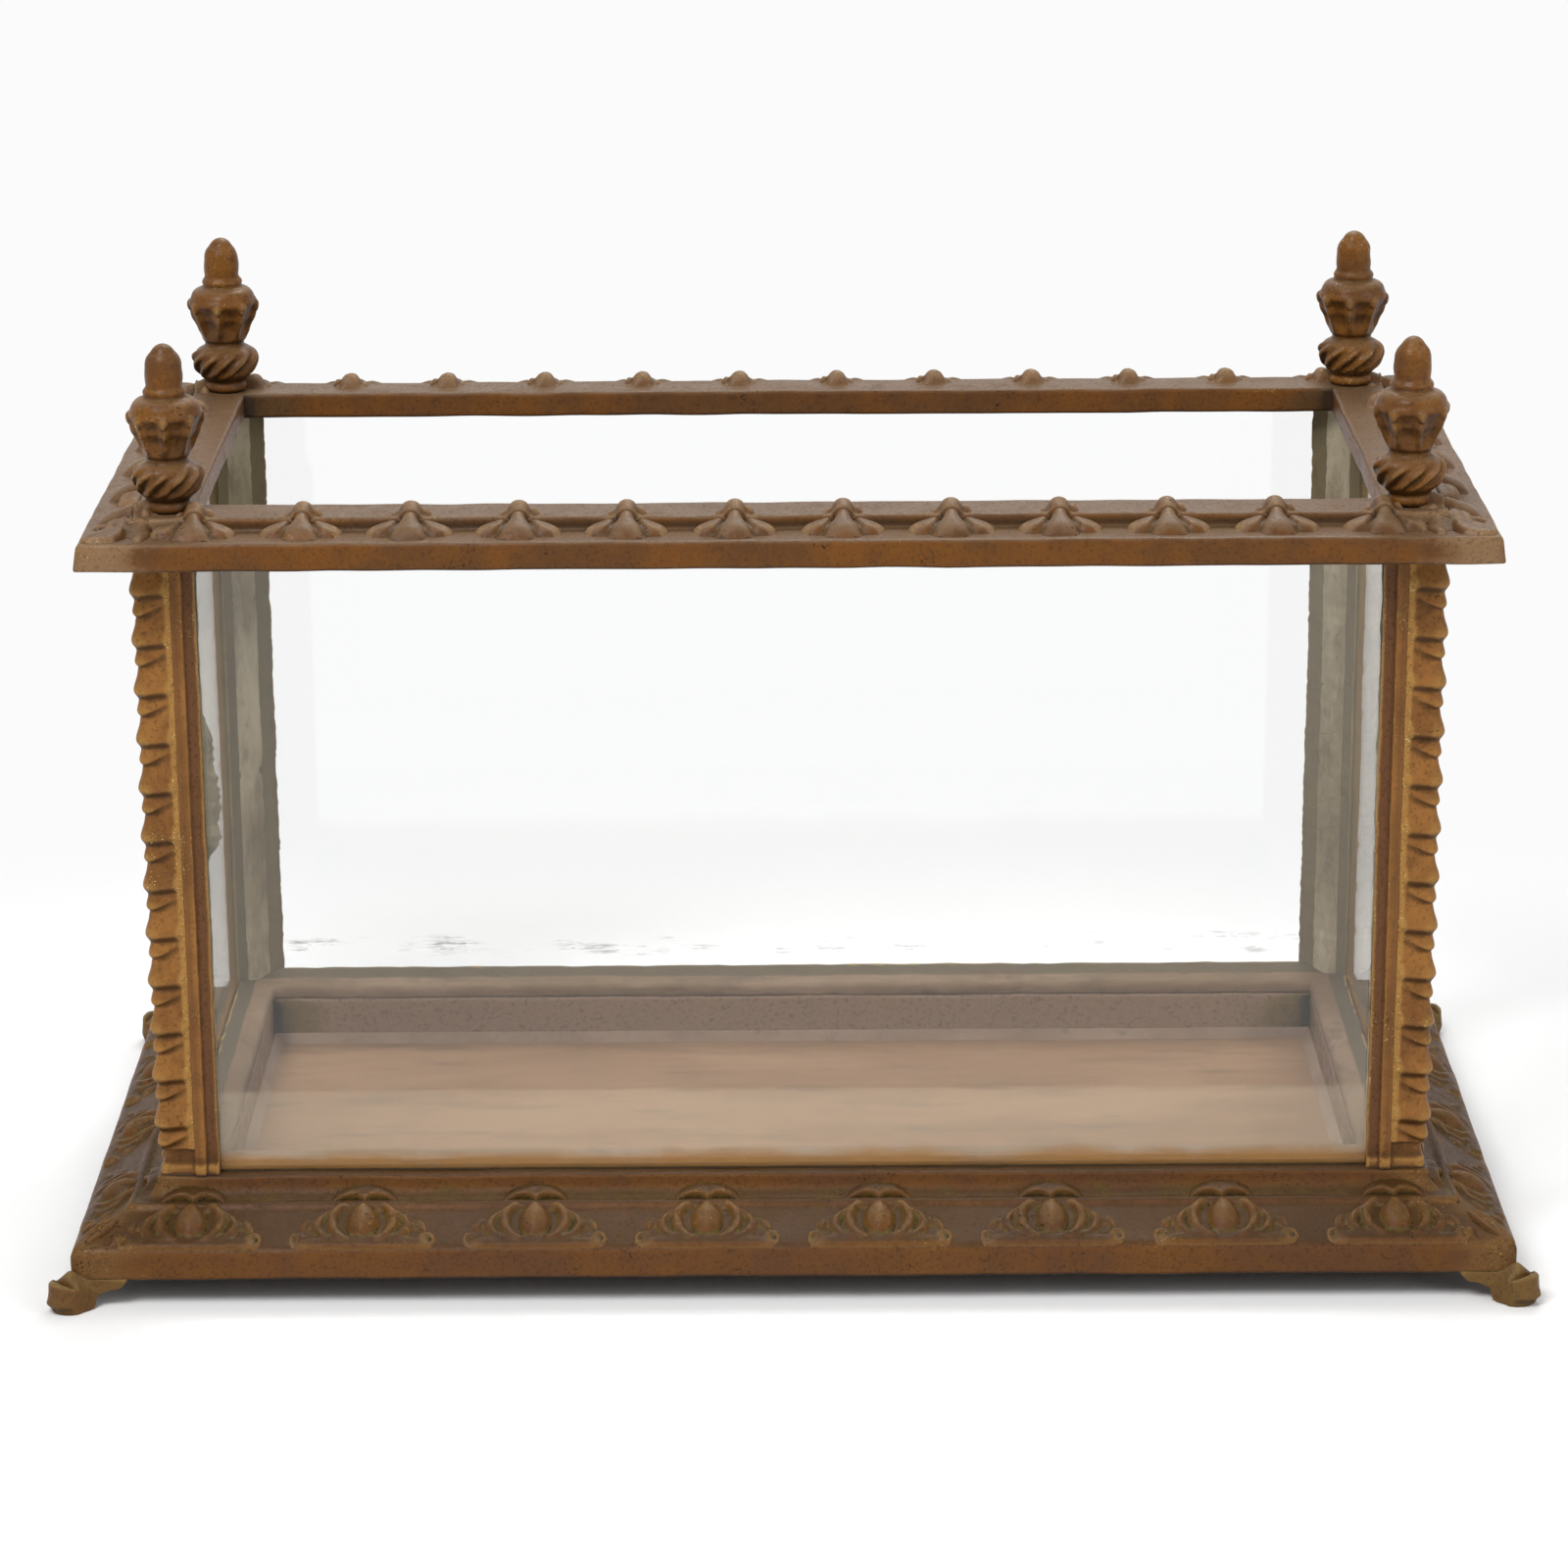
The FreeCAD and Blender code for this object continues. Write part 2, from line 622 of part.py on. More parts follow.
def four_of(pattern, name, sizes, height):
    """The same piece at all four corners."""
    return [corner.place(pattern, name, sizes, height) for corner in CORNERS]


def corner_points(sizes, reach_x, reach_y):
    """A point of each corner, so far out from its tie rod."""
    return [
        ((sizes.half_x + reach_x) * corner.sign_x, (sizes.half_y + reach_y) * corner.sign_y)
        for corner in CORNERS
    ]


def corner_box(sizes, near, far):
    """A square in each corner, from one reach to another out from the tie rod."""
    boxes = []
    for low, high in zip(corner_points(sizes, near, near), corner_points(sizes, far, far)):
        x_pair = sorted((low[0], high[0]), key=value_of)
        y_pair = sorted((low[1], high[1]), key=value_of)
        boxes.append(box_corners((x_pair[0], y_pair[0]), (x_pair[1], y_pair[1])))
    return boxes


def side_bosses(body, name, sizes, outline, near, far, pitch, counts):
    """A row of bosses on each of the four sides. The outline stands on the side's own middle
    line, and each boss runs out from one reach to another."""
    sides = (
        ("front", "XZ_Plane", sizes.half_y, counts[0], False),
        ("back", "XZ_Plane", sizes.half_y, counts[0], True),
        ("right", "YZ_Plane", sizes.half_x, counts[1], False),
        ("left", "YZ_Plane", sizes.half_x, counts[1], True),
    )
    for side, role, half_span, count, away in sides:
        lift = half_span + near
        sketch = new_sketch(body, f"{name}_{side}", role, -lift if away else lift)
        for number in range(count):
            middle = pitch * (number + (1 - count) * HALF_SHARE)
            add_loop(sketch, [(middle + point[0],) + tuple(point[1:]) for point in outline])
        pad(body, sketch, far - near, backwards=away)


def base_plinth(doc, sizes):
    """The hollow moulded base casting, with its ledge, curb, flange, gussets and shells."""
    curb = -sizes.curb_reach
    curb_back = curb + sizes.base_wall
    under_ledge = sizes.ledge - sizes.base_wall
    outline = [
        (curb - sizes.flange_width, sizes.foot_height),
        (curb_back, sizes.foot_height),
        (curb_back, under_ledge),
        (sizes.post_reach - half(sizes.base_wall), under_ledge),
        (sizes.bead_out - sizes.base_wall, sizes.field_top - sizes.base_wall),
        (sizes.field_out - sizes.base_wall, sizes.nose_top - sizes.base_wall),
        (sizes.wall_in, sizes.foot_height),
        (sizes.skirt_out, sizes.foot_height),
        (sizes.skirt_out, sizes.skirt_top, QUARTER_ARC_SHARE),
        (sizes.field_out, sizes.nose_top),
        (sizes.bead_out, sizes.field_top, BEAD_ARC_SHARE),
        (sizes.cove_out, sizes.bead_top, -QUARTER_ARC_SHARE),
        (sizes.step_out, sizes.cove_top),
        (sizes.step_out, sizes.ledge),
        (curb, sizes.ledge),
        (curb, sizes.foot_height + sizes.flange_thick),
        (curb - sizes.flange_width, sizes.foot_height + sizes.flange_thick),
    ]
    body = mitred_ring(doc, "base_casting", sizes, outline)
    blocks = new_sketch(body, "pedestals", "XY_Plane", sizes.ledge - sizes.pedestal_top_drop)
    end = sizes.post_reach - sizes.post_leg
    root = sizes.post_reach + sizes.crest_root
    reach = sizes.post_reach + sizes.pedestal_reach
    block = [(end, root), (root, root), (root, end), (reach, end), (reach, reach), (end, reach)]
    for corner in CORNERS:
        add_loop(blocks, [turned_point(sizes, corner, point) for point in block])
    pad(body, blocks, sizes.pedestal_rise, backwards=True)
    plates = new_sketch(body, "gussets", "XY_Plane", sizes.gusset_foot)
    inside = sizes.wall_in + half(sizes.base_wall)
    for corners in corner_box(sizes, sizes.wall_in - sizes.gusset_side, inside):
        add_loop(plates, corners)
    pad(body, plates, sizes.gusset_thick)
    holes = new_sketch(body, "rod_holes", "XY_Plane", sizes.ledge)
    for at in corner_points(sizes, sizes.zero, sizes.zero):
        add_circle(holes, at, sizes.hole_radius)
    pocket(body, holes, sizes.base_wall * THROUGH_SHARE)
    taps = new_sketch(body, "screw_holes", "XY_Plane", sizes.gusset_foot)
    for at in corner_points(sizes, sizes.screw_at, sizes.screw_at):
        add_circle(taps, at, sizes.screw_radius + sizes.screw_clear)
    pocket(body, taps, sizes.gusset_thick + sizes.screw_tail, backwards=True)
    plinth = doc.addObject("Part::MultiFuse", "base_plinth")
    plinth.Label = "base_plinth"
    plinth.Shapes = [body, shells(doc, sizes)]
    return plinth


def shells(doc, sizes):
    """The crest on the cove and the plain egg on the field, for every shell of the base."""
    body = new_body(doc, "shell_rows")
    counts = (LONG_SIDE_SHELL_COUNT, SHORT_SIDE_SHELL_COUNT)
    post = sizes.post_reach
    for name, width, low, arc_share, near, far in (
        ("crest", sizes.crest_width, sizes.cove_top - sizes.crest_drop, CREST_ARC_SHARE,
         post + sizes.crest_root, post + sizes.crest_reach),
        ("egg", sizes.egg_width, sizes.bead_top - sizes.egg_drop, EGG_ARC_SHARE,
         post + sizes.egg_root, post + sizes.egg_reach),
    ):
        outline = [(-half(width), low), (half(width), low, arc_share)]
        side_bosses(body, name, sizes, outline, near, far, sizes.shell_pitch, counts)
    return body


def bottom_slab(doc, sizes):
    """The slate floor, laid on the base's inner flange."""
    body = new_body(doc, "bottom_slab")
    sketch = new_sketch(body, "slab_plan", "XY_Plane", sizes.gusset_foot)
    reach = sizes.curb_reach + sizes.slab_gap
    far = (sizes.half_x - reach, sizes.half_y - reach)
    add_loop(sketch, box_corners((-far[0], -far[1]), far))
    pad(body, sketch, sizes.slab_thick)
    return body


def slab_putty(doc, sizes):
    """The putty fillet that seals the slab against the curb."""
    curb = -sizes.curb_reach
    outline = [
        (curb - sizes.slab_putty_width, sizes.slab_top),
        (curb, sizes.slab_top),
        (curb, sizes.slab_top + sizes.slab_putty_width),
    ]
    return mitred_ring(doc, "slab_putty", sizes, outline)


def feet(doc, sizes):
    """The bracket feet: two wings under the skirt, a curled toe and a lug inside the base."""
    body = new_body(doc, "foot_pattern")
    skirt = sizes.skirt_out
    inner = skirt - sizes.foot_wing
    toe_out = skirt + sizes.toe_reach
    toe_in = toe_out - sizes.toe_side
    wing = [(inner, sizes.foot_height)]
    span = toe_in - inner
    for along_share, drop_share in WING_SHARES:
        wing.append((inner + span * along_share, sizes.foot_height * (1 - drop_share)))
    wing.append((skirt, sizes.wing_tip))
    wing.append((skirt, sizes.foot_height))
    for name, role, lift, backwards in (
        ("wing_along", "XZ_Plane", -(skirt - sizes.foot_wall), True),
        ("wing_across", "YZ_Plane", skirt - sizes.foot_wall, False),
    ):
        sketch = new_sketch(body, name, role, lift)
        add_loop(sketch, wing)
        pad(body, sketch, sizes.foot_wall, backwards=backwards)
    toe = new_sketch(body, "toe", "XY_Plane")
    add_loop(toe, rounded_square(toe_in, toe_out, sizes.toe_corner))
    pad(body, toe, sizes.foot_height)
    lip = new_sketch(body, "lip", "XY_Plane", half(sizes.foot_height))
    add_loop(lip, hooked_square(toe_in, skirt, toe_out, sizes.toe_corner))
    pad(body, lip, half(sizes.foot_height) + sizes.toe_lip)
    lug = new_sketch(body, "lug", "XY_Plane", sizes.gusset_foot)
    near = sizes.lug_out - sizes.lug_side
    add_loop(lug, box_corners((near, near), (sizes.lug_out, sizes.lug_out)))
    pad(body, lug, sizes.lug_drop + sizes.flange_thick, backwards=True)
    hole = new_sketch(body, "lug_hole", "XY_Plane", sizes.gusset_foot)
    add_circle(hole, (sizes.screw_at, sizes.screw_at), sizes.screw_radius + sizes.screw_clear)
    pocket(body, hole, sizes.lug_drop + sizes.flange_thick)
    return four_of(body, "foot", sizes, sizes.zero)


def rounded_square(low, high, rounding):
    """A square on the diagonal, with four rounded corners."""
    arc = QUARTER_ARC_SHARE
    return [
        (low + rounding, low),
        (high - rounding, low, arc),
        (high, low + rounding),
        (high, high - rounding, arc),
        (high - rounding, high),
        (low + rounding, high, arc),
        (low, high - rounding),
        (low, low + rounding, arc),
    ]


def hooked_square(low, notch, high, rounding):
    """The part of that square that lies outside a notch in its inner corner."""
    arc = QUARTER_ARC_SHARE
    return [
        (notch, low),
        (high - rounding, low, arc),
        (high, low + rounding),
        (high, high - rounding, arc),
        (high - rounding, high),
        (low + rounding, high, arc),
        (low, high - rounding),
        (low, notch),
        (notch, notch),
    ]


def foot_screws(doc, sizes):
    """The four screws that hold the feet, as one group."""
    body = new_body(doc, "foot_screw_pattern")
    underside = sizes.gusset_foot - sizes.lug_drop - sizes.flange_thick
    top = sizes.gusset_top + sizes.screw_tail
    head = half(sizes.screw_head_dia)
    outline = [
        (sizes.zero, underside - sizes.screw_head_thick),
        (head, underside - sizes.screw_head_thick),
        (head, underside),
        (sizes.screw_radius, underside),
        (sizes.screw_radius, top),
        (sizes.zero, top),
    ]
    sketch = new_sketch(body, "screw_outline", "XZ_Plane")
    add_loop(sketch, outline)
    revolve(body, sketch)
    bind(body, "Placement.Base.x", sizes.screw_at)
    bind(body, "Placement.Base.y", sizes.screw_at)
    upright = doc.addObject("Part::Compound", "foot_screw_at_corner")
    upright.Links = [body]
    return grouped(doc, "foot_screws", four_of(upright, "foot_screw", sizes, sizes.zero))


def grouped(doc, name, members):
    """Identical pieces as one labelled group."""
    group = doc.addObject("Part::Compound", name)
    group.Label = name
    group.Links = members
    return group


def corner_posts(doc, sizes):
    """The upright angles, each with a set-back strip beside the panes and a chain of husks."""
    body = new_body(doc, "post_pattern")
    out = sizes.post_reach
    end = out - sizes.post_leg
    inside = sizes.putty_out
    strip = end + sizes.strip_width
    back = out - sizes.strip_drop
    angle = [
        (end, back),
        (end, inside),
        (inside, inside),
        (inside, end),
        (back, end),
        (back, strip),
        (out, strip),
        (out, out),
        (strip, out),
        (strip, back),
    ]
    section = new_sketch(body, "angle", "XY_Plane")
    add_loop(section, angle)
    pad(body, section, sizes.post_height)
    husks = new_sketch(body, "husks", "YZ_Plane", inside)
    bind(husks, "AttachmentOffset.Base.x", inside)
    waist = sizes.post_wall + sizes.husk_waist
    high = sizes.post_height - sizes.husk_head
    pitch = (high - sizes.husk_foot) * (1 / HUSK_COUNT)
    chain = [(sizes.zero, sizes.husk_foot)]
    for number in range(HUSK_COUNT):
        low = sizes.husk_foot + pitch * number
        for along_share, out_share in HUSK_SHARES:
            out_by = sizes.husk_bulge * out_share
            chain.append((-(waist + out_by), low + pitch * along_share))
    chain.append((-waist, high))
    chain.append((sizes.zero, high))
    add_loop(husks, chain)
    revolve(body, husks, THREE_QUARTERS_TURN)
    return four_of(body, "corner_post", sizes, sizes.ledge)


def glazing_putty(doc, sizes):
    """The thin putty bed between each post and the panes, as one group."""
    body = new_body(doc, "putty_bed_pattern")
    sketch = new_sketch(body, "bed_plan", "XY_Plane")
    end = sizes.post_reach - sizes.post_leg
    glass = sizes.glass_out
    post = sizes.putty_out
    add_loop(
        sketch,
        [
            (end, glass),
            (glass, glass),
            (glass, end),
            (post, end),
            (post, post),
            (end, post),
        ],
    )
    pad(body, sketch, sizes.post_height)
    return grouped(doc, "glazing_putty", four_of(body, "putty_bed", sizes, sizes.ledge))


def pane(doc, sizes, name, turn, half_length, half_span):
    """One sheet of plate glass, drawn along X in front of its own middle and then turned."""
    body = new_body(doc, name)
    sketch = new_sketch(body, name + "_plan", "XY_Plane")
    outer = half_span + sizes.glass_out
    inner = half_span + sizes.glass_in
    add_loop(sketch, box_corners((-half_length, -outer), (half_length, -inner)))
    pad(body, sketch, sizes.channel_top - sizes.pane_top_gap - sizes.ledge - sizes.pane_bed)
    body.Placement = FreeCAD.Placement(
        FreeCAD.Vector(0, 0, 0), FreeCAD.Rotation(FreeCAD.Vector(0, 0, 1), turn)
    )
    bind(body, "Placement.Base.z", sizes.ledge + sizes.pane_bed)
    return body


def pane_bed(doc, sizes):
    """The putty that the panes stand on."""
    outline = [
        (sizes.glass_in, sizes.ledge),
        (sizes.glass_out, sizes.ledge),
        (sizes.glass_out, sizes.ledge + sizes.pane_bed),
        (sizes.glass_in, sizes.ledge + sizes.pane_bed),
    ]
    return mitred_ring(doc, "pane_bed_putty", sizes, outline)


def cement_outline(sizes):
    """Plan of the cement fillet in an upright corner."""
    glass = sizes.glass_in
    edge = glass - sizes.cement_width
    return [(glass, glass), (edge, glass, CEMENT_ARC_SHARE), (glass, edge)]


def bottom_putty(doc, sizes):
    """The sloping putty fillet inside, at the foot of the glass."""
    inner = -sizes.curb_reach + sizes.bottom_putty_gap
    outline = [
        (inner, sizes.ledge),
        (sizes.glass_in, sizes.ledge),
        (sizes.glass_in, sizes.ledge + sizes.bottom_putty_rise),
        (inner, sizes.ledge + sizes.bottom_putty_toe),
    ]
    body = mitred_ring(doc, "bottom_putty", sizes, outline)
    gaps = new_sketch(body, "cement_gaps", "XY_Plane", sizes.ledge)
    for corner in CORNERS:
        points = [turned_point(sizes, corner, point) for point in cement_outline(sizes)]
        add_loop(gaps, points)
    pocket(body, gaps, sizes.bottom_putty_rise * THROUGH_SHARE, backwards=True)
    return body


def turned_point(sizes, corner, point):
    """A point of a corner piece, given in the tank's own plan."""
    x, y = point[0], point[1]
    turns = int(corner.turn / QUARTER_TURN)
    for _ in range(turns):
        x, y = -y, x
    place = (sizes.half_x * corner.sign_x + x, sizes.half_y * corner.sign_y + y)
    return place + tuple(point[2:])


def corner_cements(doc, sizes):
    """The cement fillets in the upright inner corners, cast round the tie rods."""
    body = new_body(doc, "cement_pattern")
    sketch = new_sketch(body, "cement_plan", "XY_Plane")
    add_loop(sketch, cement_outline(sizes))
    add_circle(sketch, (sizes.zero, sizes.zero), sizes.rod_radius + sizes.cement_clear)
    pad(body, sketch, sizes.skirt_foot - sizes.cement_top_gap - sizes.ledge)
    return four_of(body, "corner_cement", sizes, sizes.ledge)


def top_rim(doc, sizes):
    """The flat rim casting: raised inner bar, lower shelf, outer band and inner skirt."""
    opening = -sizes.rim_bar_in
    channel_in = opening + sizes.rim_skirt_wall
    channel_out = sizes.putty_out + sizes.putty_thick
    band_foot = sizes.shelf_top - sizes.rim_fascia
    flared = sizes.rim_shelf_out + sizes.rim_flare
    outline = [
        (opening, sizes.skirt_foot),
        (channel_in, sizes.skirt_foot),
        (channel_in, sizes.channel_top),
        (channel_out, sizes.channel_top),
        (channel_out, sizes.post_top),
        (sizes.rim_shelf_out - sizes.rim_wall, sizes.post_top),
        (flared - sizes.rim_wall, band_foot),
        (flared, band_foot),
        (sizes.rim_shelf_out, sizes.shelf_top),
        (sizes.rim_bar_out, sizes.shelf_top),
        (sizes.rim_bar_out - sizes.rim_bar_rake, sizes.bar_top),
        (opening, sizes.bar_top),
    ]
    body = mitred_ring(doc, "top_rim", sizes, outline)
    holes = new_sketch(body, "rim_rod_holes", "XY_Plane", sizes.bar_top)
    for at in corner_points(sizes, sizes.zero, sizes.zero):
        add_circle(holes, at, sizes.hole_radius)
    pocket(body, holes, sizes.rim_wall * THROUGH_SHARE)
    wide = half(sizes.leaf_width)
    foot_of_leaf = sizes.shelf_top - sizes.leaf_root
    leaf = [(-wide, foot_of_leaf), (wide, foot_of_leaf, LEAF_ARC_SHARE)]
    side_bosses(
        body, "leaf", sizes, leaf, sizes.rim_bar_out - sizes.rim_bar_rake,
        sizes.rim_shelf_out - sizes.leaf_toe_gap, sizes.leaf_pitch,
        (LONG_SIDE_LEAF_COUNT, SHORT_SIDE_LEAF_COUNT),
    )
    across = new_sketch(body, "corner_leaves", "XY_Plane", sizes.shelf_top - sizes.leaf_root)
    arm = half(sizes.corner_leaf_width)
    for corner in CORNERS:
        near = sizes.rim_bar_out
        far = sizes.rim_shelf_out - sizes.leaf_toe_gap
        leaf_plan = [
            (near, near - arm),
            (far, far - arm),
            (far, far),
            (far - arm, far),
            (near - arm, near),
        ]
        add_loop(across, [turned_point(sizes, corner, point) for point in leaf_plan])
    pad(body, across, sizes.leaf_root + sizes.corner_leaf_rise)
    return body


def turned_pattern(doc, name, outline):
    """A piece turned on the lathe round its own upright axis."""
    body = new_body(doc, name + "_pattern")
    sketch = new_sketch(body, name + "_outline", "XZ_Plane")
    add_loop(sketch, outline)
    revolve(body, sketch)
    return body


def tie_rods(doc, sizes):
    """The tie rods, each from its nut under the base up into its finial."""
    under_ledge = sizes.ledge - sizes.base_wall
    low = under_ledge - sizes.washer_thick - sizes.nut_thick - sizes.rod_tail
    high = sizes.bar_top + sizes.finial_rod_depth
    thin = sizes.rod_radius - sizes.rod_bevel
    outline = [
        (sizes.zero, low),
        (thin, low),
        (sizes.rod_radius, low + sizes.rod_bevel),
        (sizes.rod_radius, high - sizes.rod_bevel),
        (thin, high),
        (sizes.zero, high),
    ]
    return four_of(turned_pattern(doc, "rod", outline), "tie_rod", sizes, sizes.zero)


def tie_rod_washers(doc, sizes):
    """The washers under the base's ledge, as one group."""
    edge = half(sizes.washer_dia)
    outline = box_corners((sizes.hole_radius, sizes.zero), (edge, sizes.washer_thick))
    low = sizes.ledge - sizes.base_wall - sizes.washer_thick
    washers = four_of(turned_pattern(doc, "washer", outline), "washer", sizes, low)
    return grouped(doc, "tie_rod_washers", washers)


def tie_rod_nuts(doc, sizes):
    """The square nuts under the washers, as one group."""
    flat = half(sizes.nut_side)
    body = new_body(doc, "nut_pattern")
    sketch = new_sketch(body, "nut_plan", "XY_Plane")
    add_loop(sketch, box_corners((-flat, -flat), (flat, flat)))
    add_circle(sketch, (sizes.zero, sizes.zero), sizes.rod_radius + sizes.thread_clear)
    pad(body, sketch, sizes.nut_thick)
    low = sizes.ledge - sizes.base_wall - sizes.washer_thick - sizes.nut_thick
    return grouped(doc, "tie_rod_nuts", four_of(body, "nut", sizes, low))


def finials(doc, sizes):
    """The urn finials with an acorn on top, which screw down on the tie rods."""
    ring = half(sizes.finial_ring_dia)
    neck = half(sizes.finial_neck_dia)
    vase = half(sizes.finial_vase_dia)
    collar = half(sizes.finial_collar_dia)
    acorn = half(sizes.finial_acorn_dia)
    bore = sizes.rod_radius + sizes.thread_clear
    collar_top = sizes.finial_collar_rise + sizes.finial_collar_thick
    outline = [
        (bore, sizes.zero),
        (ring, sizes.zero),
        (ring, sizes.finial_ring_rise),
        (neck, sizes.finial_bulb_rise - sizes.finial_bulb_half, BULB_ARC_SHARE),
        (neck, sizes.finial_bulb_rise + sizes.finial_bulb_half),
        (neck, sizes.finial_neck_rise, WAIST_ARC_SHARE),
        (vase, sizes.finial_knob_rise),
        (vase, sizes.finial_vase_rise, SHOULDER_ARC_SHARE),
        (collar, sizes.finial_collar_rise),
        (collar, collar_top),
    ] + [
        (acorn * across_share, collar_top + (sizes.finial_height - collar_top) * rise_share)
        for across_share, rise_share in ACORN_SHARES
    ] + [
        (sizes.zero, sizes.finial_height),
        (sizes.zero, sizes.finial_bore_depth),
        (bore, sizes.finial_bore_depth),
    ]
    body = turned_pattern(doc, "finial", outline)
    knob = new_sketch(body, "knob", "XZ_Plane")
    radius = half(sizes.finial_knob_dia)
    ball = add_ball(body, knob, vase - half(radius), sizes.finial_knob_rise, radius)
    circle = body.newObject("PartDesign::PolarPattern", "knobs")
    circle.Originals = [ball]
    circle.Axis = (knob, ["V_Axis"])
    circle.Angle = FULL_TURN
    circle.Occurrences = VASE_RIB_COUNT
    body.Tip = circle
    return four_of(body, "finial", sizes, sizes.bar_top + sizes.finial_lift)


def build_tank(doc, sizes):
    """Every piece of the tank, in the order in which it goes together."""
    pieces = [base_plinth(doc, sizes)]
    pieces.extend(feet(doc, sizes))
    pieces.append(foot_screws(doc, sizes))
    pieces.append(bottom_slab(doc, sizes))
    pieces.append(slab_putty(doc, sizes))
    pieces.extend(corner_posts(doc, sizes))
    pieces.append(glazing_putty(doc, sizes))
    pieces.append(pane_bed(doc, sizes))
    long_pane = sizes.half_x + sizes.glass_out - sizes.pane_edge_gap
    short_pane = sizes.half_y + sizes.glass_in - sizes.pane_edge_gap
    for name, turn, half_length, half_span in (
        ("front_glass", 0 * QUARTER_TURN, long_pane, sizes.half_y),
        ("right_glass", 1 * QUARTER_TURN, short_pane, sizes.half_x),
        ("back_glass", 2 * QUARTER_TURN, long_pane, sizes.half_y),
        ("left_glass", 3 * QUARTER_TURN, short_pane, sizes.half_x),
    ):
        pieces.append(pane(doc, sizes, name, turn, half_length, half_span))
    pieces.append(bottom_putty(doc, sizes))
    pieces.extend(corner_cements(doc, sizes))
    pieces.append(top_rim(doc, sizes))
    pieces.extend(tie_rods(doc, sizes))
    pieces.append(tie_rod_washers(doc, sizes))
    pieces.append(tie_rod_nuts(doc, sizes))
    pieces.extend(finials(doc, sizes))
    return pieces


def check_document(doc, pieces):
    """Stop if any object failed, or if any piece has no sound shape."""
    failed = [
        f"{thing.Label}: {', '.join(thing.State)}"
        for thing in doc.Objects
        if "Invalid" in thing.State or "Error" in thing.State
    ]
    for piece in pieces:
        shape = Part.getShape(piece)
        if shape.isNull() or not shape.isValid() or not shape.Solids:
            failed.append(f"{piece.Label}: no sound shape")
    if failed:
        raise RuntimeError("the model did not come out: " + "; ".join(failed))


def main():
    """Build the tank, check it and write each piece to its own file."""
    doc = FreeCAD.newDocument("fish_tank")
    sizes = Sizes(fill_sheet(doc))
    pieces = build_tank(doc, sizes)
    doc.recompute()
    check_document(doc, pieces)
    os.makedirs("parts", exist_ok=True)
    for piece in pieces:
        shape = Part.getShape(piece)
        shape.exportStep(f"parts/{piece.Label}.step")
        box = shape.BoundBox
        print(
            f"{piece.Label}: {len(shape.Solids)} solid(s), {shape.Volume / 1000:.1f} cm3, "
            f"x {box.XMin:.2f} to {box.XMax:.2f}, y {box.YMin:.2f} to {box.YMax:.2f}, "
            f"z {box.ZMin:.2f} to {box.ZMax:.2f}"
        )


main()
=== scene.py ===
"""The look of a cast-iron and plate-glass fish tank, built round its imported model.

The tank stands on the ground with its front towards -Y. Every length in this file is in
millimetres in the row frame, and becomes metres when a mesh is made.
"""

import logging
import math
from dataclasses import dataclass, field
from enum import Enum
from typing import Any, Callable, Sequence

import bpy
import numpy as np
from mathutils import Matrix, Vector
from mathutils.bvhtree import BVHTree


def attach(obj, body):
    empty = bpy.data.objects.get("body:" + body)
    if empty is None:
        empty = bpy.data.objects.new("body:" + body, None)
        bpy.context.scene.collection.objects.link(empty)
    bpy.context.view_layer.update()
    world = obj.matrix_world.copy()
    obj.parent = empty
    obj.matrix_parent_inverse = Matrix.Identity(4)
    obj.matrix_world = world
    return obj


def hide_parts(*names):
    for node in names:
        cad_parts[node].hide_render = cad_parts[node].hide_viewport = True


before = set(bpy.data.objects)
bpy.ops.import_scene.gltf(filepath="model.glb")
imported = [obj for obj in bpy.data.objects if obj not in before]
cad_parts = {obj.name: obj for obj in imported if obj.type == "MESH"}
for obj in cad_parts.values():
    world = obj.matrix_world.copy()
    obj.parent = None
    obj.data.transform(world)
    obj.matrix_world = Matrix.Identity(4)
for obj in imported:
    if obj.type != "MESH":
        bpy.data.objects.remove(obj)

log = logging.getLogger("fish_tank")

Array = np.ndarray
Colour = tuple[float, float, float]
Point = tuple[float, float]

MM = 0.001
TANK = "tank"
DIAGONAL = math.sqrt(0.5)
WHITE = (0.965, 0.965, 0.965)


class Side(Enum):
    """The four sides of the tank, by the turn in degrees that carries the front to them."""

    FRONT = 0
    RIGHT = 90
    BACK = 180
    LEFT = 270


class Corner(Enum):
    """The four corners of the tank: the signs of X and Y, and the turn from the back right."""

    BACK_RIGHT = (1, 1, 0)
    BACK_LEFT = (-1, 1, 90)
    FRONT_LEFT = (-1, -1, 180)
    FRONT_RIGHT = (1, -1, 270)

    @property
    def word(self) -> str:
        """The corner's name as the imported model's nodes spell it."""
        return self.name.lower()


def srgb(code: str) -> Colour:
    """A colour written as six hex digits, in the linear values that shaders take.

    Args:
        code: The colour as on a paint card, such as "6b4226".

    Returns:
        Its red, green and blue from 0 to 1.
    """
    parts = [int(code[i:i + 2], 16) / 255 for i in (0, 2, 4)]
    return tuple(c / 12.92 if c <= 0.04045 else ((c + 0.055) / 1.055) ** 2.4 for c in parts)


def ramp(x: Array, low: float, high: float) -> Array:
    """A smooth step from 0 at low to 1 at high."""
    t = np.clip((x - low) / (high - low), 0.0, 1.0)
    return t * t * (3 - 2 * t)


def meld(a: Array, b: Array, softness: float) -> Array:
    """The higher of two reliefs, with a soft fillet where they meet."""
    h = np.clip(0.5 + 0.5 * (a - b) / softness, 0.0, 1.0)
    return b + (a - b) * h + softness * h * (1 - h)


